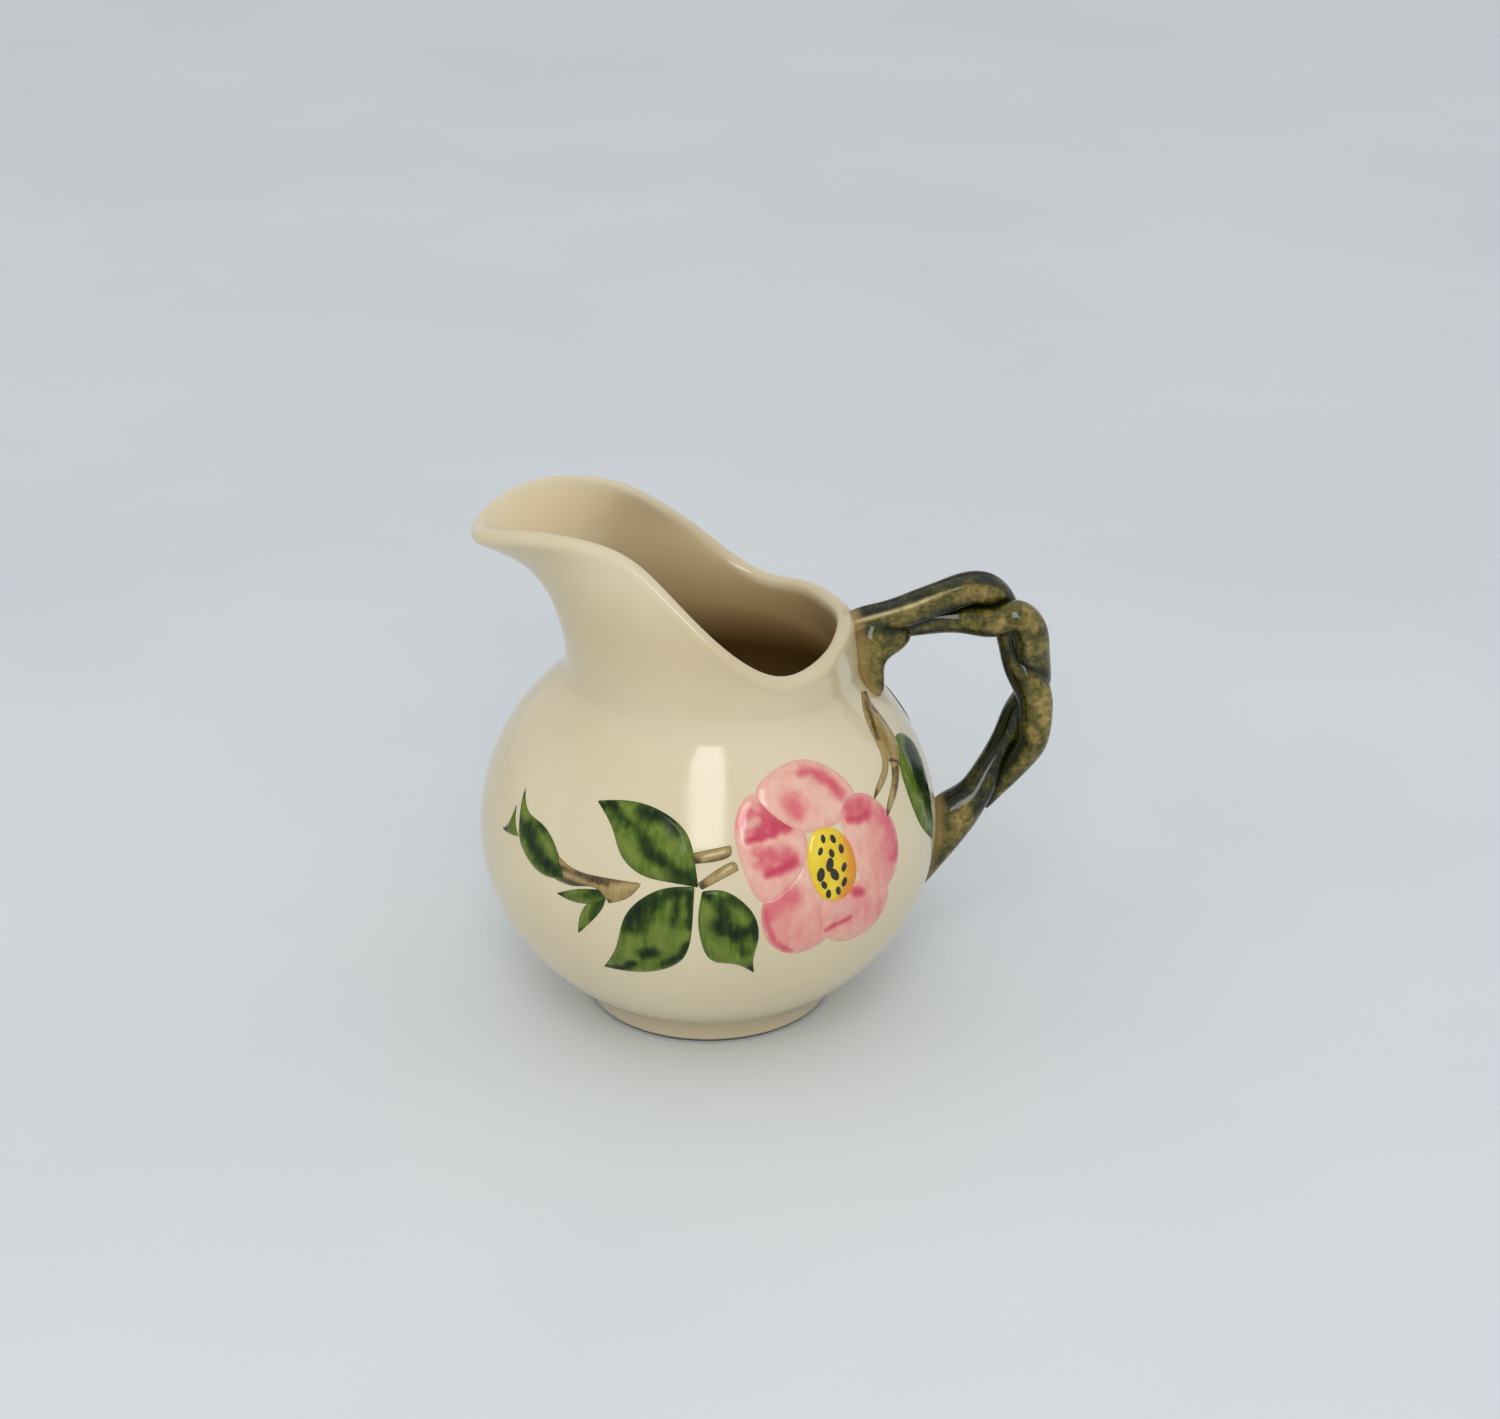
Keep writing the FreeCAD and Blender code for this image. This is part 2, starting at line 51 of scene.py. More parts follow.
# ---- the thrown wall's sizes
BELLY_RADIUS, BELLY_CENTRE_Z = 45.0, 37.07
BELLY_RISE, BELLY_DROP = 40.9, 39.33    # the belly's half heights above and below its widest ring
BELLY_RINGS = (4.2, 9.0, 15.5, 23.0, 31.0, 39.0, 47.0, 54.5, 60.5)
SHOULDER_Z = 66.0
NECK_RADIUS, NECK_Z = 27.4, 72.0
NECK_DIP, NECK_SPREAD = 2.5, 2.0        # under the handle the neck sits this much lower and further out
NECK_BREADTH = 2.6                      # across the jug the neck is this much wider
FILLET_OUT, FILLET_DOWN = 1.4, 2.9      # from the neck to the ring of the fillet below it
FILLET_SHARE = 0.73                     # how much of the neck's extra breadth reaches that ring
WALL = 3.6
UNDERSIDE_RADIUS, UNDERSIDE_Z, UNDERSIDE_RISE = 18.0, 1.6, 0.2
STATIONS = 16                           # profiles round the jug, every 22.5 degrees
RIM = ((28.5, 78.8), (28.5, 78.0), (30.5, 77.3), (31.5, 76.2), (32.2, 85.0), (28.3, 94.7), (28.8, 100.0),
       (37.5, 100.5), (43.9, 96.0))     # (reach, height) of each station from the handle to the spout
RIM_TOP_Z = 103.47
# The throat's rings, as shares of its height and of its flare.
THROAT = ((0.20, 0.01), (0.42, 0.09), (0.62, 0.22), (0.80, 0.44), (0.92, 0.72), (1.00, 1.00))
LIP_ROUNDING = ((0.36, 0.10), (0.55, 0.50), (0.36, 0.90))   # lip points, in walls up and inwards
FOOT_RADIUS, FOOT_WIDTH, FOOT_BLEND_Z = 24.4, 3.8, 7.4
# painted shade on the outside of the throat: darkest at the first height, fading over the reach
TINTED_THROAT_Z, THROAT_TINT_REACH = 85.0, 10.0
COVE_STAIN = 0.6                        # how strongly painted brown shade darkens the cove above the foot
COVE_Z, COVE_FADE_Z = 5.0, 15.0         # it is full below the first height and gone at the second
DARK_BOWL_Z, LIGHT_BOWL_Z = 60.0, 90.0  # painted shade darkens the bowl's inside from the second height down to the first
BLEED_REACH = 2.2                       # how far the handle's glaze bleeds onto the wall
LIP_START, LIP_END = 0.52, 0.60         # the lip's share of the way from the underside to the bowl's floor


# ---- meshes
def make_mesh(name, points, faces, material, body="root"):
    """A smooth-shaded piece of points in millimetres."""
    mesh = bpy.data.meshes.new(name)
    mesh.from_pydata((np.asarray(points, float) * MM).tolist(), [], faces)
    mesh.validate()
    mesh.update()
    mesh.shade_smooth()
    piece = bpy.data.objects.new(name, mesh)
    scene.collection.objects.link(piece)
    mesh.materials.append(material)
    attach(piece, body)
    return piece


def paint(piece, **layers):
    """Store numbers on the vertices for the material to read; the last may be left out, as 0."""
    for name, values in layers.items():
        padded = np.zeros(len(piece.data.vertices), np.float32)
        padded[:len(values)] = values
        piece.data.attributes.new(name, "FLOAT", "POINT").data.foreach_set("value", padded)


def grid_faces(rows, columns):
    """Quads between the points of a rows x columns grid, closed round each row."""
    faces = []
    for row in range(rows - 1):
        for column in range(columns):
            beside = (column + 1) % columns
            low, high = row * columns, (row + 1) * columns
            faces.append((low + column, low + beside, high + beside, high + column))
    return faces


def capped_tube(grid):
    """Points and faces of a (rows, around, 3) grid of rings, with a fan over each end."""
    rows, around = grid.shape[:2]
    points = np.vstack([grid.reshape(-1, 3), [grid[0].mean(axis=0)], [grid[-1].mean(axis=0)]])
    faces = grid_faces(rows, around)
    start, end = rows * around, rows * around + 1
    for column in range(around):
        beside = (column + 1) % around
        faces.append((beside, column, start))
        faces.append((start - around + column, start - around + beside, end))
    return points, faces


def full_turn(count):
    """Evenly spread angles round a circle."""
    return np.arange(count) * 2 * math.pi / count


def smoothstep(low, high, value):
    t = np.clip((value - low) / (high - low), 0, 1)
    return t * t * (3 - 2 * t)


# ---- curves
def cubic_basis(knots, count, samples):
    """Values of the cubic B-spline basis functions at the samples."""
    samples = np.asarray(samples, float)[:, None]
    last = np.flatnonzero(np.diff(knots) > 0)[-1]
    inside = (samples >= knots[:-1]) & (samples < knots[1:])
    inside[samples[:, 0] >= knots[-1], last] = True
    basis = inside.astype(float)
    for degree in (1, 2, 3):
        size = len(knots) - 1 - degree
        rise = knots[degree:degree + size] - knots[:size]
        fall = knots[degree + 1:] - knots[1:size + 1]
        up = np.where(rise > 0, (samples - knots[:size]) / np.where(rise > 0, rise, 1), 0)
        down = np.where(fall > 0, (knots[degree + 1:] - samples) / np.where(fall > 0, fall, 1), 0)
        basis = up * basis[:, :size] + down * basis[:, 1:size + 1]
    return basis[:, :count]


def clamped_basis(count, samples):
    spans = count - 3
    knots = np.concatenate(([0] * 3, np.arange(spans + 1), [spans] * 3)).astype(float)
    return cubic_basis(knots, count, np.linspace(0, spans, samples))


def periodic_basis(count, samples):
    knots = np.arange(-3, count + 4).astype(float)
    basis = cubic_basis(knots, count + 3, np.arange(samples) * count / samples)
    basis[:, :3] += basis[:, count:]
    return np.roll(basis[:, :count], -1, axis=1)


def leg_lengths(points):
    return np.linalg.norm(np.diff(points, axis=0), axis=1)


def through(points, samples, closed=False):
    """A cubic spline through points, as evenly spread samples; a closed one also joins last to first."""
    points = np.asarray(points, float)
    first, last = 0, len(points) - 1
    if closed:
        first, last = len(points), 2 * len(points)
        points = np.vstack([points, points, points])
    count = len(points)
    place = np.concatenate(([0], np.cumsum(np.sqrt(leg_lengths(points[:, :3])))))
    step = np.diff(place)
    matrix, side = np.eye(count), np.zeros_like(points)
    for k in range(1, count - 1):
        matrix[k, k - 1:k + 2] = step[k - 1] / 6, (step[k - 1] + step[k]) / 3, step[k] / 6
        side[k] = (points[k + 1] - points[k]) / step[k] - (points[k] - points[k - 1]) / step[k - 1]
    bend = np.linalg.solve(matrix, side)
    fine = np.linspace(place[first], place[last], samples * 8)
    span = np.clip(np.searchsorted(place, fine, "right") - 1, 0, count - 2)
    width = step[span][:, None]
    after = (fine - place[span])[:, None] / width
    before = 1 - after
    curve = before * points[span] + after * points[span + 1]
    curve += ((before ** 3 - before) * bend[span] + (after ** 3 - after) * bend[span + 1]) * width ** 2 / 6
    travelled = np.concatenate(([0], np.cumsum(leg_lengths(curve[:, :3]))))
    wanted = np.linspace(0, travelled[-1], samples, endpoint=not closed)
    return np.stack([np.interp(wanted, travelled, column) for column in curve.T], axis=1)


# ---- the wall
def belly_radius(z):
    half_axis = np.where(z > BELLY_CENTRE_Z, BELLY_RISE, BELLY_DROP)
    return BELLY_RADIUS * np.sqrt(1 - ((z - BELLY_CENTRE_Z) / half_axis) ** 2)


def wall_profile(station):
    """One azimuth's wall as (radius, height): up the outside, over the lip and down the inside."""
    reach, top = RIM[min(station, STATIONS - station)]
    azimuth = station * 2 * math.pi / STATIONS
    handle_side = (1 + math.cos(azimuth)) / 2
    dip = NECK_DIP * handle_side
    neck_z = NECK_Z - dip
    widening = NECK_BREADTH * math.sin(azimuth) ** 2
    narrow_neck = NECK_RADIUS + NECK_SPREAD * handle_side
    neck = narrow_neck + widening
    outside = [(UNDERSIDE_RADIUS * 2 / 3, UNDERSIDE_Z), (UNDERSIDE_RADIUS, UNDERSIDE_Z + UNDERSIDE_RISE)]
    outside += [(float(belly_radius(z)), z) for z in BELLY_RINGS]
    outside.append((float(belly_radius(SHOULDER_Z - dip)), SHOULDER_Z - dip))
    outside += [(narrow_neck + FILLET_OUT + FILLET_SHARE * widening, neck_z - FILLET_DOWN), (neck, neck_z)]
    for rise, flare in THROAT:
        spread = flare + (rise - flare) * handle_side
        outside.append((neck + (reach - neck) * spread, neck_z + (top - neck_z) * rise))
    outside = np.array(outside)
    travel = np.gradient(outside, axis=0)
    travel /= np.linalg.norm(travel, axis=1, keepdims=True)
    inward = np.stack([-travel[:, 1], travel[:, 0]], axis=1)
    lip = [outside[-1] + travel[-1] * forward * WALL + inward[-1] * across * WALL
           for forward, across in LIP_ROUNDING]
    inside = outside + inward * WALL
    return np.vstack([outside, lip, inside[::-1]])


def wall_points(around, along):
    """The wall's surface as an (along, around, 3) grid, from the underside over the lip to the floor."""
    profiles = np.array([wall_profile(station) for station in range(STATIONS)])
    azimuth = full_turn(STATIONS)
    net = np.stack([profiles[..., 0].T * np.cos(azimuth), profiles[..., 0].T * np.sin(azimuth),
                    profiles[..., 1].T], axis=-1)
    poles = net - (np.roll(net, 1, 1) - 2 * net + np.roll(net, -1, 1)) / 6
    poles[1:-1] = poles[1:-1] - (poles[:-2] - 2 * poles[1:-1] + poles[2:]) / 6
    across, up = periodic_basis(STATIONS, around), clamped_basis(len(net), along)
    return np.einsum("vi,uj,ijk->vuk", up, across, poles, optimize=True)


def make_wall(material):
    around, along = 320, 400
    points, faces = capped_tube(wall_points(around, along))
    points[:, 2] = np.minimum(points[:, 2], RIM_TOP_Z)
    wall = make_mesh("jug_wall", points, faces, material)
    place = np.append(np.repeat(np.linspace(0, 1, along), around), (0, 1))
    inside = smoothstep(LIP_START, LIP_END, place)
    near_handle = (points[:, 0] > HANDLE_SIDE) & (inside < 0.5)
    stain = np.zeros(len(points))
    gap = np.min([gap_to_strand(points[near_handle], path) for path, _, _ in STRANDS.values()], axis=0)
    stain[near_handle] = smoothstep(BLEED_REACH, 0.0, gap)
    z = points[:, 2]
    # painted shade in the cove above the foot, on top of the handle's real bleed
    stain = np.maximum(stain, COVE_STAIN * (1 - inside) * smoothstep(COVE_FADE_Z, COVE_Z, z))
    # painted shade round the throat's outside
    neck = (1 - inside) * np.exp(-((z - TINTED_THROAT_Z) / THROAT_TINT_REACH) ** 2)
    # painted shade, deepening down the inside of the bowl
    depth = inside * smoothstep(LIGHT_BOWL_Z, DARK_BOWL_Z, z)
    paint(wall, inside=inside, depth=depth, stain=stain, neck=neck)
    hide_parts("jug_body")
    return wall


def make_foot(material):
    """The foot ring, turned with a cove into the belly and an unglazed resting edge; painted shade darkens
    the cove and a painted contact shadow darkens the edge.
    """
    outer, inner = FOOT_RADIUS, FOOT_RADIUS - FOOT_WIDTH
    section = through([
        (float(belly_radius(FOOT_BLEND_Z)) - 0.05, FOOT_BLEND_Z), (outer + 3.1, 5.7), (outer + 1.65, 3.9),
        (outer + 0.65, 2.2), (outer, 0.95), (outer - 0.45, 0.26), (outer - 1.1, 0.02),
        (inner + 1.3, 0.02), (inner + 0.5, 0.25), (inner + 0.2, 1.0), (inner - 0.2, 2.2),
        (inner - 0.6, 3.4)], 72)
    around = 256
    turn = full_turn(around)
    section[:, 1] = np.maximum(section[:, 1], 0)
    points = np.stack([np.outer(section[:, 0], np.cos(turn)), np.outer(section[:, 0], np.sin(turn)),
                       np.repeat(section[:, 1:], around, axis=1)], axis=-1).reshape(-1, 3)
    foot = make_mesh("foot_ring_turned", points, grid_faces(len(section), around), material)
    rest = np.repeat(section[:, 1], around)
    # the resting edge is rough and painted near-black as contact shadow; painted shade browns the cove
    paint(foot, bare=1 - smoothstep(0.45, 0.95, rest), stain=COVE_STAIN * smoothstep(0.5, 4.5, rest))
    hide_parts("foot_ring")


# ---- handle
UPPER_TWIG = (
    (26.4, 0.0, 77.0, 0.76), (31.0, -0.4, 78.3, 0.95), (37.0, -0.9, 80.1, 0.99), (43.0, -1.3, 82.5, 1.00),
    (48.5, -1.3, 84.5, 1.02), (53.0, -0.3, 84.4, 1.00), (56.6, 1.4, 81.4, 0.98), (58.6, 2.0, 76.8, 0.97),
    (60.0, 0.9, 72.0, 1.01), (61.6, -0.6, 67.3, 1.08), (63.5, -1.8, 62.6, 1.09), (64.2, -2.0, 57.6, 1.05),
    (63.8, -1.9, 52.9, 0.97), (62.0, -1.2, 49.1, 0.86), (59.8, -0.2, 45.3, 0.74), (57.5, 0.6, 41.7, 0.60),
    (54.8, 0.8, 37.9, 0.42),
)
LOWER_TWIG = (
    (33.5, 0.4, 76.4, 0.85), (38.5, 1.0, 77.5, 0.92), (44.5, 1.3, 78.0, 0.95), (50.5, 0.2, 78.1, 0.98),
    (55.6, -1.6, 78.3, 1.00), (59.6, -2.4, 79.1, 1.04), (61.9, -2.7, 76.6, 1.10), (62.9, -1.5, 72.3, 1.12),
    (64.0, 0.0, 67.8, 0.99), (64.2, 1.2, 63.1, 0.92), (61.6, 2.2, 57.8, 0.92), (59.7, 2.4, 52.9, 0.87),
    (57.9, 1.9, 48.9, 0.87), (55.6, 0.9, 44.9, 0.95), (53.0, -0.2, 41.0, 1.06), (49.9, -0.7, 36.9, 1.22),
    (47.6, -0.6, 32.9, 1.12), (45.8, -0.3, 29.0, 0.92), (44.2, -0.1, 25.3, 0.68), (42.4, 0.0, 21.2, 0.34),
)
SIDE_SHOOT = (
    (33.6, -0.4, 77.6, 0.95), (32.7, -1.4, 74.6, 1.10), (31.6, -2.6, 71.2, 0.88), (31.6, -3.2, 67.6, 0.78),
    (32.2, -3.6, 65.0, 0.62), (32.9, -3.9, 63.4, 0.36),
)
TWIG_RADIUS = 3.2
HANDLE_SIDE = 26.0                      # the wall beyond this x can be near a strand
OPENING_CENTRE = (47.5, 0.0, 62.0)      # middle of the gap between the handle and the belly


def ridged_twig(share, angle):
    """The upper twig: a ridge along the front of its top half, flattened above it."""
    along = 1 - smoothstep(0.30, 0.42, share)
    ridge = np.exp(-((angle - RIDGE_ANGLE) / 0.20) ** 2)
    flat = np.exp(-((angle - RIDGE_ANGLE - 0.85) / 0.55) ** 2)
    return 1 + along * (0.11 * ridge - 0.08 * flat) + knuckles(share, angle, 0.4)


def rooted_twig(share, angle):
    """The lower twig: it swells into the belly where it takes root."""
    towards_wall = np.maximum(-np.cos(angle), 0) ** 2
    return 1 + 0.55 * np.exp(-((share - 0.83) / 0.05) ** 2) * towards_wall + knuckles(share, angle, 2.1)


def forked_shoot(share, angle):
    """The side shoot: webbed to the twigs at its top, seated on the neck and rounded at its tip."""
    web = 0.95 * np.exp(-(share / 0.27) ** 2) * np.maximum(np.cos(angle), 0) ** 3
    seat = 0.5 * np.maximum(-np.cos(angle), 0) ** 2 * smoothstep(0.8, 0.4, share)
    tip = np.sqrt(1 - smoothstep(0.90, 1.0, share) * 0.98)
    return (1 + web + seat) * tip


def knuckles(share, angle, phase):
    """Slight swellings that wander round a twig."""
    swelling = 0.035 * np.sin(31 * share + phase) * np.cos(angle - 9 * share)
    return swelling + 0.02 * np.sin(3 * angle + 40 * share)


RIDGE_ANGLE = math.radians(360 - 58)    # from straight up, turned towards the front
# Places on the handle where the glaze runs thin and golden, lightened further as painted highlights.
GOLDEN_KNUCKLES = ((53.4, -2.8, 83.0), (61.0, -5.0, 79.5), (50.0, -4.0, 38.0))
STRANDS = {
    "handle_upper_twig": (UPPER_TWIG, ridged_twig, 260),
    "handle_lower_twig": (LOWER_TWIG, rooted_twig, 260),
    "handle_side_shoot": (SIDE_SHOOT, forked_shoot, 110),
}


def sweep(path, shape, rows, around):
    """A tube along a path of (x, y, z, thickness); shape(share of length, angle) scales its radius."""
    line = through(path, rows)
    travel = np.gradient(line[:, :3], axis=0)
    travel /= np.linalg.norm(travel, axis=1, keepdims=True)
    side = np.cross(travel, (0, 1, 0))
    side /= np.linalg.norm(side, axis=1, keepdims=True)
    front = np.cross(side, travel)
    angle = full_turn(around)
    share = np.linspace(0, 1, rows)[:, None]
    radius = TWIG_RADIUS * line[:, 3:4] * shape(share, angle[None, :])
    radial = side[:, None, :] * np.cos(angle)[:, None] + front[:, None, :] * np.sin(angle)[:, None]
    return line[:, None, :3] + radial * radius[..., None], radial


def gap_to_strand(points, path):
    """How far each point lies from the surface of a strand."""
    line = through(path, 120)
    away = np.linalg.norm(points[:, None] - line[:, :3], axis=-1) - TWIG_RADIUS * line[:, 3]
    return away.min(axis=1)


def strand_tone(name, points, radial, share, angle):
    """Darkness of the glaze, 0 golden to 1 nearly black: pooled glaze and painted shade in creases, painted
    shade towards the opening, darker bands on the twigs and the shoot's tip, lighter at the knuckles.
    """
    tone = np.zeros(len(points))
    # glaze pooled in the creases between strands, with painted shade there
    for other, (path, _, _) in STRANDS.items():
        if other != name:
            tone = np.maximum(tone, 0.95 * smoothstep(1.5, 0.1, gap_to_strand(points, path)))
    # painted shade on the faces that turn towards the opening
    to_opening = np.array(OPENING_CENTRE) - points
    facing = (to_opening * radial).sum(axis=1) / np.linalg.norm(to_opening, axis=1)
    round_opening = smoothstep(34.0, 42.0, points[:, 0])
    tone = np.maximum(tone, smoothstep(-0.1, 0.65, facing) * round_opening)
    if name == "handle_upper_twig":
        above_ridge = smoothstep(0.02, 0.12, angle - RIDGE_ANGLE) + (angle < math.pi / 2)
        tone = np.maximum(tone, 0.72 * above_ridge * (1 - smoothstep(0.36, 0.50, share)))
    if name == "handle_lower_twig":
        tone = np.maximum(tone, 0.55 * smoothstep(0.44, 0.50, share) * smoothstep(0.84, 0.74, share))
    if name == "handle_side_shoot":
        tone = np.maximum(tone, 0.9 * smoothstep(0.86, 0.98, share))
    # thin golden glaze and painted highlights at the knuckles
    for knuckle in GOLDEN_KNUCKLES:
        tone = tone - 0.45 * smoothstep(4.0, 0.5, np.linalg.norm(points - knuckle, axis=1))
    return tone


def make_twig(name, wall_tree, material):
    """One strand of the handle, golden where it meets the wall."""
    path, shape, rows = STRANDS[name]
    around = 72
    grid, radial = sweep(path, shape, rows, around)
    points, faces = capped_tube(grid)
    twig = make_mesh(name + "_bark", points, faces, material)
    share = np.repeat(np.linspace(0, 1, rows), around)
    angle = np.tile(full_turn(around), rows)
    skin = grid.reshape(-1, 3)
    tone = strand_tone(name, skin, radial.reshape(-1, 3), share, angle)
    # the ridge: glaze thin over the edge, painted lighter as a highlight too
    ridge = np.exp(-((angle - RIDGE_ANGLE) / 0.11) ** 2) * (1 - smoothstep(0.20, 0.29, share))
    to_wall = np.array([wall_tree.find_nearest(Vector(point))[3] for point in skin])
    paint(twig, tone=tone, root=smoothstep(2.6, 0.2, to_wall), ridge=ridge * (name == "handle_upper_twig"))
    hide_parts(name)


# ---- raised decoration
RELIEF_HEIGHT = 0.55                            # how far the decoration stands out
RELIEF_ROUNDING, PETAL_ROUNDING = 1.3, 2.6      # how wide its edge is rounded, and a petal's
EDGE_SINK, TUCK_DEPTH = 0.06, 0.45              # how far an outline and a tucked edge lie in the wall
FILL_PITCH = 0.27                               # spacing of a piece's mesh

# Each piece has the azimuth in degrees and the height of its centre on the belly, the pieces that its
# edge tucks under, and its outline in the tangent plane there (right, up). Each run of an outline
# starts at a corner; a single run is one smooth closed curve.
RELIEF = {
    "rose_eye": (-62, 45.5, (), (
        ((-4.6, 4.0), (-2.6, 7.0), (0.8, 7.2), (4.0, 4.6), (5.5, 0.6), (5.4, -3.4), (3.4, -6.6), (-0.4, -7.1),
         (-3.8, -4.6), (-5.0, -0.5)),)),
    "rose_petal_right": (-49, 47.5, ("rose_eye",), (
        ((-6.0, 4.0), (-4.2, 8.6), (0.7, 9.2), (4.6, 6.2), (7.2, 1.6), (7.8, -3.2), (6.4, -7.8), (3.4, -10.4),
         (-2.0, -9.0), (-5.0, -3.0)),)),
    "rose_petal_top": (-65, 58.0, ("rose_eye", "rose_petal_right"), (
        ((-9.6, 2.6), (-4.6, 6.4), (1.4, 7.1), (6.6, 4.4), (10.4, -1.4), (6.8, -5.6), (1.4, -6.8),
         (-4.0, -5.6)),)),
    "rose_petal_left": (-77, 51.0, ("rose_eye", "rose_petal_top"), (
        ((-2.4, 10.0), (2.8, 6.6), (6.6, 2.0), (6.6, -3.0), (3.4, -7.6), (-2.6, -10.2), (-5.8, -4.2),
         (-6.9, 3.0), (-5.4, 7.8)),)),
    "rose_petal_lower_right": (-56, 34.5, ("rose_eye", "rose_petal_right"), (
        ((-7.4, 5.4), (-1.0, 6.6), (6.4, 6.4), (9.4, 1.4), (7.6, -3.8), (2.6, -6.2), (-3.8, -5.2),
         (-7.4, -1.0)),)),
    "rose_petal_bottom": (-72, 37.0, ("rose_eye", "rose_petal_left", "rose_petal_lower_right"), (
        ((-6.4, 4.4), (-3.0, 8.6), (3.0, 9.6), (6.8, 5.0), (8.4, -1.0), (7.0, -5.8), (3.2, -8.0),
         (-1.2, -7.9), (-5.4, -4.6), (-7.0, 0.0)),)),
    "leaf_upper": (-109, 52.0, (), (
        ((-10.6, 6.4), (-6.8, 7.0), (-1.6, 7.0), (3.8, 5.3), (7.6, 2.2), (9.4, -2.4)),
        ((10.4, -7.4), (4.8, -7.0), (-0.4, -6.2), (-4.6, -3.0), (-6.8, 1.6)))),
    "leaf_lower_left": (-107, 34.0, (), (
        ((8.2, 10.6), (8.0, 4.6), (7.3, -1.2), (5.0, -5.6), (-0.7, -8.6), (-6.2, -9.5)),
        ((-10.2, -9.6), (-7.0, -3.4), (-5.4, 2.6), (-2.7, 6.8), (2.4, 10.0)))),
    "leaf_lower_right": (-88, 35.0, (), (
        ((-5.2, 8.8), (-1.8, 9.0), (1.8, 7.1), (4.8, 2.9), (5.2, -2.0), (4.4, -6.0)),
        ((4.8, -10.0), (0.8, -7.0), (-3.4, -5.9), (-5.6, -1.0), (-6.0, 4.0)))),
    "stem_upper": (-93, 50.5, ("leaf_upper",), (
        ((-4.4, -2.0), (4.0, -0.4)), ((4.1, 1.7),), ((-4.0, 0.1),))),
    "stem_lower": (-91, 46.5, ("leaf_upper",), (
        ((-3.8, -1.2), (3.2, 2.7)), ((4.0, 1.0),), ((-3.0, -2.6),))),
    "bud_calyx": (-141, 47.0, (), (
        ((-6.8, 8.6), (-5.4, 6.0), (-3.2, 4.3), (-0.4, 3.8), (2.8, 2.8), (6.4, -0.4)),
        ((9.0, -4.9), (3.0, -5.8), (-1.6, -4.2), (-4.8, -1.3), (-6.0, 2.2), (-6.8, 5.6)))),
    "bud_sepal": (-152, 47.5, ("bud_calyx",), (
        ((-3.4, -2.6), (-1.2, -0.8)),
        ((0.2, 4.3), (1.6, 0.4)),
        ((3.6, -1.6), (0.4, -2.4)))),
    "bud_twig": (-122, 43.0, ("bud_calyx",), (
        ((-9.4, 4.2), (-4.6, 1.9), (1.6, 1.6)),
        ((10.0, 1.9), (7.6, -1.4)),
        ((3.6, -3.4), (0.6, -1.0), (-3.8, -1.7)),
        ((-8.4, -1.6),))),
    "bud_leaf_side": (-124, 40.0, ("bud_twig",), (
        ((-6.8, -1.3), (-2.0, 0.9), (1.4, 1.8)),
        ((6.0, 2.6), (3.4, -0.4), (-2.2, -1.9)))),
    "bud_leaf_down": (-122, 37.0, ("bud_twig", "bud_leaf_side"), (
        ((3.2, 4.8), (2.6, 1.8), (-0.2, -2.2)),
        ((-3.6, -5.9), (-2.4, -0.6), (0.2, 2.8)))),
    "vine_stem": (-24, 62.0, (), (
        ((3.0, 7.8), (-1.6, 4.8), (-4.7, 0.6), (-5.6, -4.2)),
        ((-2.2, -7.4), (1.8, -4.0), (2.8, 1.0), (4.2, 5.2)),
        ((5.8, 7.0),))),
    "vine_twig_left": (-36, 57.5, ("vine_stem",), (
        ((2.8, 5.8), (2.0, 2.8), (0.4, 0.2), (-3.4, -1.9)),
        ((-6.4, -4.4), (-2.4, -3.2), (2.4, -0.6), (4.0, 2.6)))),
    "vine_twig_right": (-35, 53.5, ("vine_stem", "vine_twig_left"), (
        ((3.0, 5.4), (1.4, 2.4), (-3.2, -1.4)),
        ((-6.4, -5.0), (-1.4, -2.4), (3.9, 1.4), (5.6, 4.6)))),
    "vine_leaf": (-20, 50.5, ("vine_stem",), (
        ((-2.0, 10.2), (2.6, 9.8), (6.4, 6.3), (6.4, 2.0), (4.2, -3.4), (2.4, -8.0)),
        ((1.4, -13.0), (-2.6, -9.8), (-5.6, -6.2), (-6.9, -0.6), (-5.6, 5.4)))),
}

# Stamens on the rose's eye, as (right, up) of the eye's tangent plane.
STAMENS = (
    (-1.2, 5.4), (0.9, 4.9), (-2.2, 3.3), (0.1, 2.4), (2.3, 2.7), (2.4, -0.8), (0.2, -1.7), (-2.7, -1.0),
    (-0.6, 0.4), (-2.2, -3.1), (2.2, -3.6), (-1.4, -5.0), (0.7, -4.9),
)
STAMEN_HALF_WIDTH, STAMEN_HALF_LENGTH, STAMEN_HEIGHT = 0.58, 0.92, 0.26
RUN_TOGETHER = (6, 7, 8)        # stamens near the middle whose glaze ran together in firing
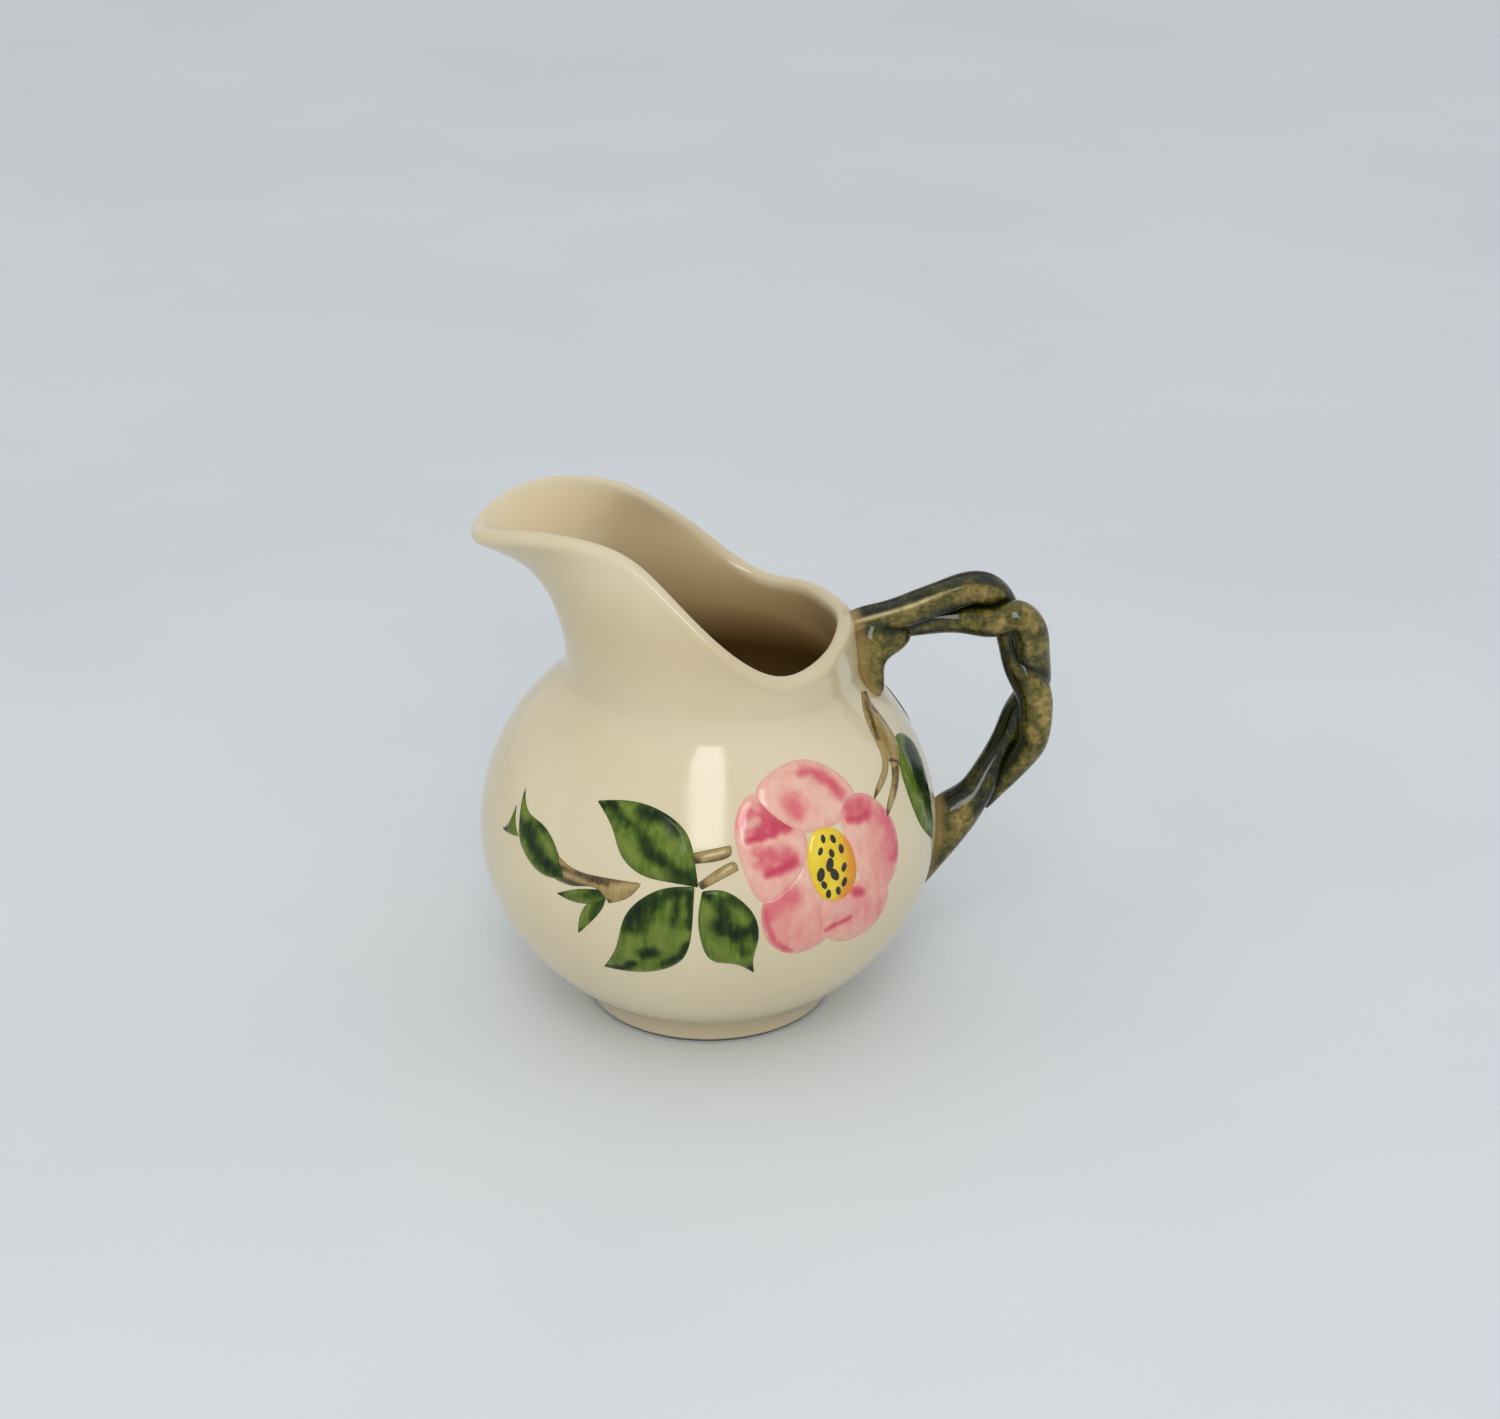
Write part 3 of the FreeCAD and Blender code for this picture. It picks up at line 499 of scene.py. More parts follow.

# Brush strokes on each piece, as (half width, strength, path) in its tangent plane. Glaze pools dark along
# those of positive strength; along the others it is wiped thin and pale, and some of those are painted
# highlights.
STROKES = {
    "rose_petal_top": (
        (0.9, 0.75, ((0.4, 4.3), (3.2, 3.5), (5.3, 1.6), (6.7, -0.8))),
        (1.5, 0.55, ((-3.7, -0.2), (-2.7, -2.1))),
        (0.7, -0.9, ((-1.2, 2.5), (1.1, 2.9))),
        (1.2, -0.6, ((2.4, -0.8), (3.7, -3.5)))),
    "rose_petal_left": (
        (1.8, 0.8, ((-3.2, 5.3), (-0.2, 5.4))),
        (1.2, 0.85, ((-2.0, 3.4), (1.1, 3.9), (3.2, 3.7))),
        (0.5, 1.0, ((-4.2, 1.8), (-0.3, 2.2), (3.2, 3.5))),
        (1.6, 0.65, ((-2.3, -1.6), (0.4, -2.0), (2.7, -2.7))),
        (0.6, 1.0, ((-1.4, -4.8), (1.4, -4.3), (3.8, -3.4))),
        (0.6, -1.0, ((-3.9, 4.5), (-2.6, 5.0))),
        (0.4, -0.7, ((-3.9, -1.8), (-3.5, -1.9)))),
    "rose_petal_right": (
        (3.6, 0.3, ((1.0, 7.0), (3.6, 1.0), (3.4, -6.0))),
        (1.6, 0.65, ((-3.0, 7.3), (0.1, 6.0))),
        (0.5, 0.95, ((-4.2, 5.4), (-2.1, 4.6), (0.5, 4.9))),
        (1.3, 0.5, ((4.5, 3.7), (5.7, 0.2), (5.6, -4.1))),
        (0.6, 0.7, ((5.7, -5.4), (6.8, -3.3))),
        (1.1, -0.6, ((-5.2, 2.5), (-1.9, 2.0)))),
    "rose_petal_lower_right": (
        (3.6, 0.28, ((-3.0, 1.0), (5.0, 0.0))),
        (0.6, 0.9, ((0.0, 4.7), (1.4, 4.2))),
        (0.3, 0.85, ((-7.8, -2.9), (-5.3, -1.0), (-1.2, -0.4))),
        (0.9, -0.6, ((-4.8, 2.4), (-1.2, 2.0)))),
    "rose_petal_bottom": (
        (3.2, 0.25, ((-3.6, 3.0), (-2.0, -4.0), (4.0, -3.0))),
        (1.5, 0.45, ((-5.3, 2.6), (-3.4, 4.4), (-0.7, 4.6))),
        (0.4, 0.7, ((-6.1, 2.1), (-5.9, -0.8), (-4.0, -4.7), (-1.3, -7.1)))),
    "rose_eye": (
        (1.6, 1.0, ((4.6, 3.7), (5.0, 0.3), (4.7, -3.4), (3.0, -5.8))),
        (0.5, 0.8, ((1.3, -6.2), (3.5, -6.0))),
        (0.9, -0.8, ((-1.7, 5.5), (-3.0, 2.3))),
        (0.6, -0.6, ((-0.3, -3.2), (0.3, -4.9)))),
    "leaf_upper": (
        (1.0, 0.95, ((-1.2, 5.2), (1.5, 5.3), (3.7, 4.4), (4.8, 3.0))),
        (0.7, 0.8, ((-0.2, -0.3), (0.9, -2.2), (3.3, -3.4))),
        (1.1, 0.85, ((5.5, -5.7), (8.1, -5.4), (9.7, -6.7))),
        (0.7, 0.55, ((-6.3, 4.4), (-2.3, 2.6), (1.7, -1.5), (6.0, -4.5))),
        (0.5, 1.0, ((-10.3, 5.8), (-9.3, 5.5))),
        (0.6, 1.0, ((-8.0, 6.4), (-6.5, 5.6))),
        (1.0, -0.8, ((-4.5, -0.2), (-1.7, -3.1))),
        (0.9, -0.6, ((3.1, 2.4), (6.3, -1.3))),
        (0.6, -0.6, ((-3.9, 5.3), (-2.6, 4.3))),
        (0.9, -0.6, ((2.6, -5.5), (4.4, -6.1)))),
    "leaf_lower_left": (
        (1.1, 0.9, ((-0.5, 7.5), (-2.9, 5.1), (-4.6, 1.9))),
        (1.0, 0.65, ((1.8, 8.6), (-0.2, 4.9), (-2.0, 1.9))),
        (0.6, 0.85, ((7.3, 8.4), (7.6, 5.4), (7.4, 2.9))),
        (0.5, 1.0, ((-9.4, -9.4), (-6.1, -8.4), (-3.7, -6.6))),
        (0.8, 0.95, ((-1.4, -3.8), (0.8, -3.1))),
        (0.6, 0.8, ((2.0, -6.0), (5.1, -4.0), (6.7, -1.2))),
        (0.7, 0.8, ((3.6, 9.4), (6.5, 9.6))),
        (0.6, 0.6, ((5.3, 8.9), (4.8, 5.3), (4.2, 3.4))),
        (1.3, -0.9, ((2.7, 1.8), (1.8, -0.2), (3.0, -1.6))),
        (0.9, -0.7, ((-5.7, -3.9), (-3.0, -0.8))),
        (0.6, -0.6, ((5.3, 0.1), (6.2, 1.5)))),
    "leaf_lower_right": (
        (1.1, 0.9, ((-2.7, 2.3), (0.2, 0.4), (3.7, 0.7), (4.7, 2.1))),
        (0.9, 0.8, ((-2.0, 6.6), (-0.8, 3.8), (-1.4, 1.9))),
        (0.6, 0.95, ((4.6, 2.4), (5.1, -1.0))),
        (0.5, 1.0, ((3.6, -7.8), (4.6, -9.2))),
        (0.6, 1.0, ((-4.7, 8.3), (-4.0, 8.1))),
        (0.7, 0.6, ((0.3, 7.4), (3.7, 4.6))),
        (0.7, 0.6, ((1.4, -0.3), (2.6, -4.0))),
        (0.9, -0.8, ((-4.6, 4.8), (-4.7, 1.3))),
        (0.9, -0.7, ((-1.8, -3.2), (0.3, -5.3))),
        (0.7, -0.6, ((1.4, 4.6), (2.8, 2.9)))),
    "stem_upper": (
        (0.6, 0.9, ((-3.1, -0.9), (-2.2, -1.5))),
        (0.2, 0.6, ((-0.4, -1.5), (3.9, -0.2))),
        (0.4, -0.7, ((-0.9, -0.7), (3.1, 0.4)))),
    "stem_lower": (
        (0.6, 0.8, ((-3.4, -2.7), (-2.6, -1.6))),
        (0.4, -0.7, ((-1.4, -1.0), (2.7, 1.2)))),
    "bud_calyx": (
        (1.1, 0.95, ((-1.8, 1.8), (0.2, -0.9), (3.3, -2.9), (6.6, -3.8))),
        (0.7, 0.7, ((-5.0, 2.2), (-2.5, 0.0))),
        (0.4, 1.0, ((-7.1, 8.0), (-6.4, 7.4))),
        (0.4, 0.7, ((0.2, 3.4), (4.8, 1.3), (6.5, -0.6))),
        (0.8, -0.8, ((3.4, 1.7), (5.4, -0.6))),
        (0.6, -0.7, ((-4.9, 5.3), (-2.8, 3.6)))),
    "bud_sepal": (
        (0.5, 1.0, ((-2.9, -2.5), (-0.8, -1.9))),
        (0.4, 0.9, ((-0.1, 3.8), (0.7, 3.2)))),
    "bud_twig": (
        (0.5, 0.9, ((-8.4, -0.3), (-5.7, -0.9), (-1.4, -1.2))),
        (0.3, 0.8, ((-7.0, 1.3), (-1.6, 0.6), (3.1, 0.6))),
        (0.2, 0.7, ((-4.6, 2.9), (-3.0, 1.2), (1.8, 1.0))),
        (0.3, 0.8, ((4.0, -2.8), (3.8, -4.5))),
        (0.3, 0.6, ((-1.0, 1.9), (3.7, 1.4), (8.5, 1.9))),
        (0.5, -0.8, ((5.0, -0.1), (8.0, 1.4))),
        (0.4, -0.6, ((-5.5, 0.5), (-1.5, 0.0)))),
    "bud_leaf_side": (
        (0.6, 1.0, ((-6.9, -1.5), (-5.0, -1.3))),
        (0.9, 0.85, ((2.2, 1.7), (5.9, 2.9))),
        (0.3, 0.6, ((-3.3, -1.0), (0.9, 0.4))),
        (0.5, -0.7, ((-3.7, -0.8), (-0.5, -0.2)))),
    "bud_leaf_down": (
        (0.6, 0.6, ((3.2, 4.3), (1.3, 1.4), (-0.1, -1.6))),
        (0.4, 1.0, ((-3.4, -5.8), (-2.3, -4.6))),
        (0.5, -0.7, ((-0.8, -2.5), (-1.4, -0.6)))),
    "vine_stem": (
        (0.3, 0.8, ((5.2, 7.3), (0.2, 4.8), (-2.8, 1.6), (-4.2, -0.3))),
        (0.4, 0.7, ((1.6, 3.8), (1.6, 1.2), (2.5, -1.6), (2.5, -4.2))),
        (0.2, 0.9, ((-4.4, -5.2), (-2.9, -6.5), (-1.9, -7.8))),
        (0.4, -0.7, ((1.1, 2.1), (-0.9, -1.2), (-2.3, -5.1)))),
    "vine_twig_left": (
        (0.4, 1.0, ((2.3, 5.6), (2.4, 4.7), (3.0, 3.6))),
        (0.4, 1.0, ((-6.0, -4.0), (-4.6, -2.8))),
        (0.2, 0.6, ((0.8, 3.7), (-2.3, 0.6), (-5.0, -1.9))),
        (0.5, -0.7, ((1.6, 2.3), (-1.0, 0.1), (-3.4, -1.8)))),
    "vine_twig_right": (
        (0.6, 1.0, ((-5.7, -4.5), (-4.7, -2.9))),
        (0.3, 0.7, ((-3.8, -1.7), (-1.6, 1.2), (2.3, 3.0))),
        (0.3, 0.7, ((3.7, 3.0), (0.8, 0.2), (-1.0, -1.6))),
        (0.3, -0.7, ((-0.9, 0.2), (-2.5, -1.8)))),
    "vine_leaf": (
        (2.4, 0.8, ((1.4, 6.0), (0.8, -1.0), (0.6, -5.0))),
        (1.6, 1.0, ((0.7, 6.7), (0.8, 4.1), (0.7, 2.2))),
        (0.9, 0.95, ((6.4, 4.9), (6.3, 1.9), (4.1, -1.0), (1.9, -3.2))),
        (1.2, 0.9, ((-0.7, 0.7), (0.1, -1.8))),
        (0.6, 0.9, ((-2.0, -10.1), (1.4, -13.4))),
        (0.6, 0.8, ((4.1, 7.4), (5.3, 5.7))),
        (0.7, -0.9, ((1.6, 9.3), (-1.8, 7.9), (-3.1, 4.0))),
        (0.7, -0.7, ((-5.4, -0.5), (-2.8, -2.7))),
        (0.5, -0.6, ((-2.5, -7.0), (-4.2, -4.4)))),
}


def tangent_frame(azimuth, height):
    """A point on the belly with its right, up and outward directions, seen from outside."""
    radius = float(belly_radius(height))
    half_axis = BELLY_RISE if height > BELLY_CENTRE_Z else BELLY_DROP
    turn = math.radians(azimuth)
    origin = np.array([radius * math.cos(turn), radius * math.sin(turn), height])
    outward = origin / BELLY_RADIUS ** 2
    outward[2] = (height - BELLY_CENTRE_Z) / half_axis ** 2
    outward /= np.linalg.norm(outward)
    right = np.array([-math.sin(turn), math.cos(turn), 0])
    return origin, right, np.cross(outward, right), outward


def outline_loop(runs, pitch):
    """An outline's points at an even pitch."""
    if len(runs) == 1:
        return through(runs[0], int(leg_lengths(runs[0]).sum() / pitch), closed=True)
    pieces = []
    for index, run in enumerate(runs):
        points = np.array(run + (runs[(index + 1) % len(runs)][0],))
        steps = max(int(leg_lengths(points).sum() / pitch), 2)
        pieces.append(through(points, steps + 1)[:-1])
    return np.vstack(pieces)


def distance_to_path(points, path):
    """Each point's distance from a path of straight legs."""
    path = np.asarray(path, float)
    start, leg = path[:-1], np.diff(path, axis=0)
    away = points[:, None] - start
    share = np.clip((away * leg).sum(axis=-1) / (leg ** 2).sum(axis=-1), 0, 1)
    return np.linalg.norm(away - share[..., None] * leg, axis=-1).min(axis=1)


def depth_inside(points, loop):
    """How far each point lies inside a closed loop; negative outside."""
    after = np.roll(loop, -1, axis=0)
    x, y = points[:, :1], points[:, 1:]
    level = np.where(np.abs(after[:, 1] - loop[:, 1]) < 1e-9, 1e-9, after[:, 1] - loop[:, 1])
    crossing = loop[:, 0] + (y - loop[:, 1]) * (after[:, 0] - loop[:, 0]) / level
    crossed = ((loop[:, 1] > y) != (after[:, 1] > y)) & (x < crossing)
    side = np.where(crossed.sum(axis=1) % 2 == 1, 1, -1)
    return side * distance_to_path(points, np.vstack([loop, loop[:1]]))


def fill_loop(loop, pitch):
    """Triangles that fill a loop: its own points come first, then an even grid inside it."""
    low, high = loop.min(axis=0), loop.max(axis=0)
    rows = np.arange(low[1], high[1], pitch * 0.866)
    columns = np.arange(low[0], high[0], pitch)
    grid = np.stack(np.meshgrid(columns, rows), axis=-1)
    grid[1::2, :, 0] += pitch / 2
    grid = grid.reshape(-1, 2)
    grid = grid[depth_inside(grid, loop) > pitch * 0.6]
    corners = [Vector(point) for point in np.vstack([loop, grid])]
    filled = delaunay_2d_cdt(corners, [], [list(range(len(loop)))], 1, 1e-6)
    return np.array([tuple(point) for point in filled[0]]), [tuple(face) for face in filled[2]]


def brushed(points, wobble, strokes):
    """How strongly the dark strokes and the light ones, soft and a little ragged, cover each point; the light
    ones are wiped paint and painted highlights.
    """
    covers = {1: np.zeros(len(points)), -1: np.zeros(len(points))}
    for half_width, strength, path in strokes:
        sign = 1 if strength > 0 else -1
        away = distance_to_path(points, path) + wobble * 0.5 * half_width
        body = smoothstep(2.2 * half_width + 0.3, 0, away)
        covers[sign] = 1 - (1 - covers[sign]) * (1 - abs(strength) * body)
    return covers[1], covers[-1]


def raise_on_wall(flat, frame_here, wall_tree):
    """Points of a tangent plane dropped onto the wall, and the wall's outward directions there."""
    origin, right, up, outward = frame_here
    places, normals = [], []
    for x, y in flat:
        start = Vector(origin + right * x + up * y + outward * 8)
        place, normal, _, _ = wall_tree.ray_cast(start, Vector(-outward))
        places.append(place)
        normals.append(normal if normal.dot(Vector(outward)) > 0 else -normal)
    return np.array(places), np.array(normals)


def tuck_under(surface, lift, over):
    """Lower the lift where a piece passes under its neighbours."""
    for neighbour in over:
        azimuth, height, _, runs = RELIEF[neighbour]
        origin, right, up, _ = tangent_frame(azimuth, height)
        flat = np.stack([(surface - origin) @ right, (surface - origin) @ up], axis=1)
        under = smoothstep(0.0, 1.0, depth_inside(flat, outline_loop(runs, FILL_PITCH)))
        lift = lift * (1 - under) - TUCK_DEPTH * under
    return lift


def make_raised(name, points, faces, material, slot, **layers):
    """One piece of decoration and its mirror image on the jug's other face."""
    mirrored = points * (1, -1, 1), [face[::-1] for face in faces]
    for node, shape in ((name, (points, faces)), (name + "_back", mirrored)):
        piece = make_mesh(node + "_glazed", *shape, material)
        paint(piece, **layers)
        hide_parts(node)


def relief_lift(name, surface, edge, dark, pale):
    """Height of a piece above the wall: rounded edges, hollows under the dark strokes."""
    rounding = PETAL_ROUNDING if name.startswith("rose_petal") else RELIEF_ROUNDING
    lift = RELIEF_HEIGHT * (1 - (1 - np.clip(edge / rounding, 0, 1)) ** 2) - EDGE_SINK
    lift += (0.10 * pale - 0.14 * dark) * smoothstep(0.2, 1.2, edge)
    return tuck_under(surface, lift, RELIEF[name][2])


def rim_faces(loop, count):
    """Faces from a loop down to its copy, which starts at point count, and across that copy."""
    rim = len(loop)
    middle = count + rim
    twice_area = (loop[:, 0] * np.roll(loop[:, 1], -1) - loop[:, 1] * np.roll(loop[:, 0], -1)).sum()
    step = -1 if twice_area < 0 else 1
    faces = []
    for k in range(rim):
        beside = (k + step) % rim
        faces.append((k, count + k, count + beside, beside))
        faces.append((count + k, middle, count + beside))
    return faces


def make_relief(name, wall_tree, material, slot):
    """One piece of decoration, laid on the wall with its edge carried down into it."""
    azimuth, height, _, runs = RELIEF[name]
    loop = outline_loop(runs, FILL_PITCH)
    flat, top = fill_loop(loop, FILL_PITCH)
    rim = len(loop)
    surface, outward = raise_on_wall(flat, tangent_frame(azimuth, height), wall_tree)
    edge = np.maximum(depth_inside(flat, loop), 0)
    edge[:rim] = 0
    wobble = np.array([noise.noise(Vector((x * 0.7, y * 0.7, azimuth))) for x, y in flat])
    # the light strokes are wiped paint and painted highlights
    dark, pale = brushed(flat, wobble, STROKES[name])
    raised = surface + outward * relief_lift(name, surface, edge, dark, pale)[:, None]
    hidden = surface[:rim] - outward[:rim] * 2 * TUCK_DEPTH
    points = np.vstack([raised, hidden, [hidden.mean(axis=0)]])
    faces = top + rim_faces(loop, len(flat))
    make_raised(name, points, faces, material, slot, tone=dark, pale=pale, edge=edge)


def make_stamens(wall_tree, material):
    """The stamens' heads: small oval beads on the eye."""
    azimuth, height = RELIEF["rose_eye"][:2]
    here = tangent_frame(azimuth, height)
    rings, around = 7, 20
    turn = full_turn(around)
    lifted, faces = [], []
    for index, (x, y) in enumerate(STAMENS):
        tilt = 0.5 * math.sin(2.3 * index)
        size = 1.5 if index in RUN_TOGETHER else 1.0
        for ring in range(rings):
            slope = (ring + 0.5) / rings * math.pi / 2
            across = STAMEN_HALF_WIDTH * size * math.cos(slope) * np.cos(turn)
            along = STAMEN_HALF_LENGTH * size * math.cos(slope) * np.sin(turn)
            flat = np.stack([x + across * math.cos(tilt) - along * math.sin(tilt),
                             y + across * math.sin(tilt) + along * math.cos(tilt)], axis=1)
            surface, outward = raise_on_wall(flat, here, wall_tree)
            height_here = RELIEF_HEIGHT - 2 * EDGE_SINK + STAMEN_HEIGHT * math.sin(slope)
            lifted.append(surface + outward * height_here)
        first = index * rings * around
        faces += [tuple(first + corner for corner in face) for face in grid_faces(rings, around)]
        faces.append(tuple(first + (rings - 1) * around + column for column in range(around)))
        faces.append(tuple(first + column for column in reversed(range(around))))
    make_raised("rose_stamens", np.vstack(lifted), faces, material, "stamen_glaze")


# ---- materials
def linear(colour):
    """A colour of 0-255 screen values as Blender's linear one."""
    channels = [c / 255 / 12.92 if c <= 10 else ((c / 255 + 0.055) / 1.055) ** 2.4 for c in colour]
    return (*channels, 1.0)


class Nodes:
    """A material's node tree, built a node at a time."""

    def __init__(self, name):
        self.material = bpy.data.materials.new(name)
        self.material.use_nodes = True
        self.tree = self.material.node_tree
        self.tree.nodes.clear()
        self.shader = self.add("BsdfPrincipled")
        self.add("OutputMaterial", Surface=self.shader.outputs[0])

    def add(self, kind, settings=None, **inputs):
        node = self.tree.nodes.new("ShaderNode" + kind)
        for key, value in (settings or {}).items():
            setattr(node, key, value)
        self.fill(node, **inputs)
        return node

    def fill(self, node, **inputs):
        for key, value in inputs.items():
            self.put(node.inputs[key.replace("_", " ")], value)

    def put(self, socket, value):
        """Link a socket or set it; a colour is given as 0-255 screen values."""
        if hasattr(value, "is_output"):
            self.tree.links.new(value, socket)
        else:
            socket.default_value = linear(value) if socket.type == "RGBA" else value

    def noise(self, scale, detail=3.0, roughness=0.5, where=None):
        where = where or self.place()
        node = self.add("TexNoise", Vector=where, Scale=scale, Detail=detail, Roughness=roughness)
        return node.outputs["Fac"]

    def place(self):
        return self.add("TexCoord").outputs["Object"]

    def brushed_noise(self, scale, turn=0.6, stretch=0.22):
        """Noise drawn out into streaks, as a loaded brush leaves."""
        drawn = self.add("Mapping", Vector=self.place(), Rotation=(0, turn, 0), Scale=(1, 1, stretch))
        return self.noise(scale, 4.0, 0.6, drawn.outputs["Vector"])

    def attribute(self, name):
        return self.add("Attribute", {"attribute_name": name}).outputs["Fac"]

    def swing(self, value, middle, amount):
        """A value's excess over its middle, scaled."""
        return self.math("MULTIPLY", self.math("SUBTRACT", value, middle), amount)

    def wash(self, strokes, streaks, level):
        """Tone of brushed glaze: a share of the strokes, streaks about them and a base level."""
        tone = self.math("ADD", self.math("MULTIPLY", self.attribute("tone"), strokes), streaks)
        return self.math("ADD", tone, level)

    def tint(self, layer, strength, colour, over):
        """Another colour laid over the first where a painted layer is strong."""
        return self.mix(self.math("MULTIPLY", self.attribute(layer), strength), colour, over)

    def rimmed(self, start, end, strength, colour, over):
        """Another colour laid over the first near a piece's edge."""
        return self.mix(self.span(self.attribute("edge"), start, end, strength, 0.0), colour, over)

    def mottled(self, scale, low=0.0, high=1.0, detail=3.0):
        """A value that drifts between low and high."""
        return self.span(self.noise(scale, detail), 0.3, 0.7, low, high)

    def math(self, operation, first, second):
        node = self.add("Math", {"operation": operation})
        self.put(node.inputs[0], first)
        self.put(node.inputs[1], second)
        return node.outputs[0]

    def span(self, value, low, high, to_low=0.0, to_high=1.0):
        """The value eased from the range low..high onto another range."""
        node = self.add("MapRange", {"interpolation_type": "SMOOTHSTEP"}, Value=value,
                        From_Min=low, From_Max=high, To_Min=to_low, To_Max=to_high)
        return node.outputs["Result"]

    def mix(self, share, first, second):
        node = self.add("Mix", {"data_type": "RGBA", "clamp_factor": True}, Factor=share)
        colours = [socket for socket in node.inputs if socket.type == "RGBA"]
        self.put(colours[0], first)
        self.put(colours[1], second)
        return next(socket for socket in node.outputs if socket.type == "RGBA")

    def ramp(self, value, *stops):
        node = self.add("ValToRGB", Fac=value)
        elements = node.color_ramp.elements
        while len(elements) < len(stops):
            elements.new(0.5)
        for element, (position, colour) in zip(elements, stops):
            element.position, element.color = position, linear(colour)
        return node.outputs["Color"]

    def bump(self, height, strength, distance):
        node = self.add("Bump", Height=height, Strength=strength, Distance=distance * MM)
        self.fill(self.shader, Normal=node.outputs["Normal"])

    def finish(self, colour, roughness, **sockets):
        self.fill(self.shader, Base_Color=colour, Roughness=roughness, **sockets)
        return self.material


def cream_glaze():
    """Warm cream glaze: broad drifts of tone and a few pin specks."""
    nodes = Nodes("cream_glaze_look")
    colour = nodes.mix(nodes.mottled(28.0), (215, 201, 168), (208, 193, 158))
    grain = nodes.noise(900.0, 2.0)
    colour = nodes.mix(nodes.span(grain, 0.62, 0.8, 0.0, 0.1), colour, (190, 170, 120))
    # painted shade on the throat's outside
    colour = nodes.tint("neck", 0.5, colour, (192, 170, 126))
    # painted shade: the whole inside is darkened and warmed
    colour = nodes.tint("inside", 0.5, colour, (200, 170, 108))
    # painted shade deep in the bowl
    colour = nodes.tint("depth", 1.0, colour, (142, 110, 62))
    # brown: the handle's glaze bleeding onto the wall, and painted shade in the cove
    colour = nodes.tint("stain", 0.55, colour, (158, 132, 78))
    # painted contact shadow: the unglazed resting edge is painted near-black
    colour = nodes.tint("bare", 1.0, colour, (38, 25, 14))
    dullness = nodes.math("MULTIPLY", nodes.attribute("bare"), 0.6)
    roughness = nodes.math("ADD", nodes.mottled(60.0, 0.09, 0.16), dullness)
    nodes.bump(nodes.noise(120.0, 2.0), 0.10, 0.15)
    return nodes.finish(colour, roughness, IOR=1.52)


def bark_glaze():
    """Brown-green handle glaze: golden where thin and at painted highlights, mottled with dark spots, nearly
    black where it pools and under painted shade.
    """
    nodes = Nodes("bark_glaze_look")
    spots = nodes.swing(nodes.noise(900.0, 5.0, 0.7), 0.48, 1.3)
    drift = nodes.swing(nodes.noise(250.0, 3.0), 0.5, 1.5)
    tone = nodes.wash(0.6, nodes.math("ADD", spots, drift), 0.4)
    colour = nodes.ramp(tone, (0.0, (160, 136, 78)), (0.28, (118, 102, 48)), (0.48, (84, 78, 24)),
                        (0.70, (54, 54, 10)), (0.95, (20, 22, 2)))
    colour = nodes.tint("root", 0.65, colour, (168, 142, 88))
    rubbed = nodes.span(nodes.noise(260.0), 0.35, 0.6, 0.35, 0.9)
    # thin glaze along the ridge, and a painted highlight there
    colour = nodes.tint("ridge", rubbed, colour, (202, 184, 130))
    nodes.bump(nodes.noise(420.0, 4.0), 0.30, 0.2)
    return nodes.finish(colour, nodes.mottled(200.0, 0.05, 0.13), Specular_IOR_Level=0.38)


def petal_glaze():
    """Pink wash on cream: darker where the brush pooled, wiped light in places, with painted highlights among
    the light strokes.
    """
    nodes = Nodes("petal_glaze_look")
    tone = nodes.wash(0.85, nodes.swing(nodes.brushed_noise(520.0, 1.1, 0.35), 0.5, 0.6), 0.12)
    colour = nodes.ramp(tone, (0.0, (230, 184, 162)), (0.28, (220, 152, 138)),
                        (0.60, (210, 104, 110)), (0.95, (192, 56, 80)))
    colour = nodes.rimmed(0.0, 1.3, 0.5, colour, (218, 152, 136))
    # light strokes: wiped paint and painted highlights
    colour = nodes.tint("pale", 0.6, colour, (222, 190, 166))
    nodes.bump(nodes.noise(160.0, 2.0), 0.15, 0.2)
    return nodes.finish(colour, nodes.mottled(80.0, 0.10, 0.17), IOR=1.52)


def eye_glaze():
    """Yellow eye, orange where the wash ran to one side."""
    nodes = Nodes("eye_glaze_look")
    colour = nodes.mix(nodes.mottled(500.0, 0.0, 0.35), (226, 196, 28), (206, 168, 18))
    # light strokes: wiped paint and painted highlights
    colour = nodes.tint("pale", 0.6, colour, (238, 218, 70))
    colour = nodes.tint("tone", 0.9, colour, (212, 124, 18))
    nodes.bump(nodes.noise(300.0, 2.0), 0.15, 0.15)
    return nodes.finish(colour, nodes.mottled(80.0, 0.12, 0.2), IOR=1.52)


def stamen_glaze():
    """Thick black-brown dots."""
    nodes = Nodes("stamen_glaze_look")
    colour = nodes.mix(nodes.mottled(700.0, detail=2.0), (24, 20, 14), (46, 38, 20))
    nodes.bump(nodes.noise(900.0, 2.0), 0.1, 0.05)
    return nodes.finish(colour, nodes.mottled(200.0, 0.15, 0.3), IOR=1.52)


def leaf_glaze():
    """Green wash: nearly black where it pooled, yellow-green where it was wiped, with painted highlights
    among the light strokes.
    """
    nodes = Nodes("leaf_glaze_look")
    tone = nodes.wash(0.7, nodes.swing(nodes.brushed_noise(900.0), 0.5, 0.9), 0.19)
    colour = nodes.ramp(tone, (0.0, (112, 128, 50)), (0.32, (74, 96, 24)), (0.62, (38, 60, 12)),
                        (0.95, (11, 24, 5)))
    # light strokes: wiped paint and painted highlights
    colour = nodes.tint("pale", 0.5, colour, (122, 136, 60))
    colour = nodes.rimmed(0.1, 0.5, 0.35, colour, (50, 74, 22))
    nodes.bump(nodes.noise(220.0, 3.0), 0.2, 0.2)
    return nodes.finish(colour, nodes.mottled(90.0, 0.10, 0.18), Specular_IOR_Level=0.20)


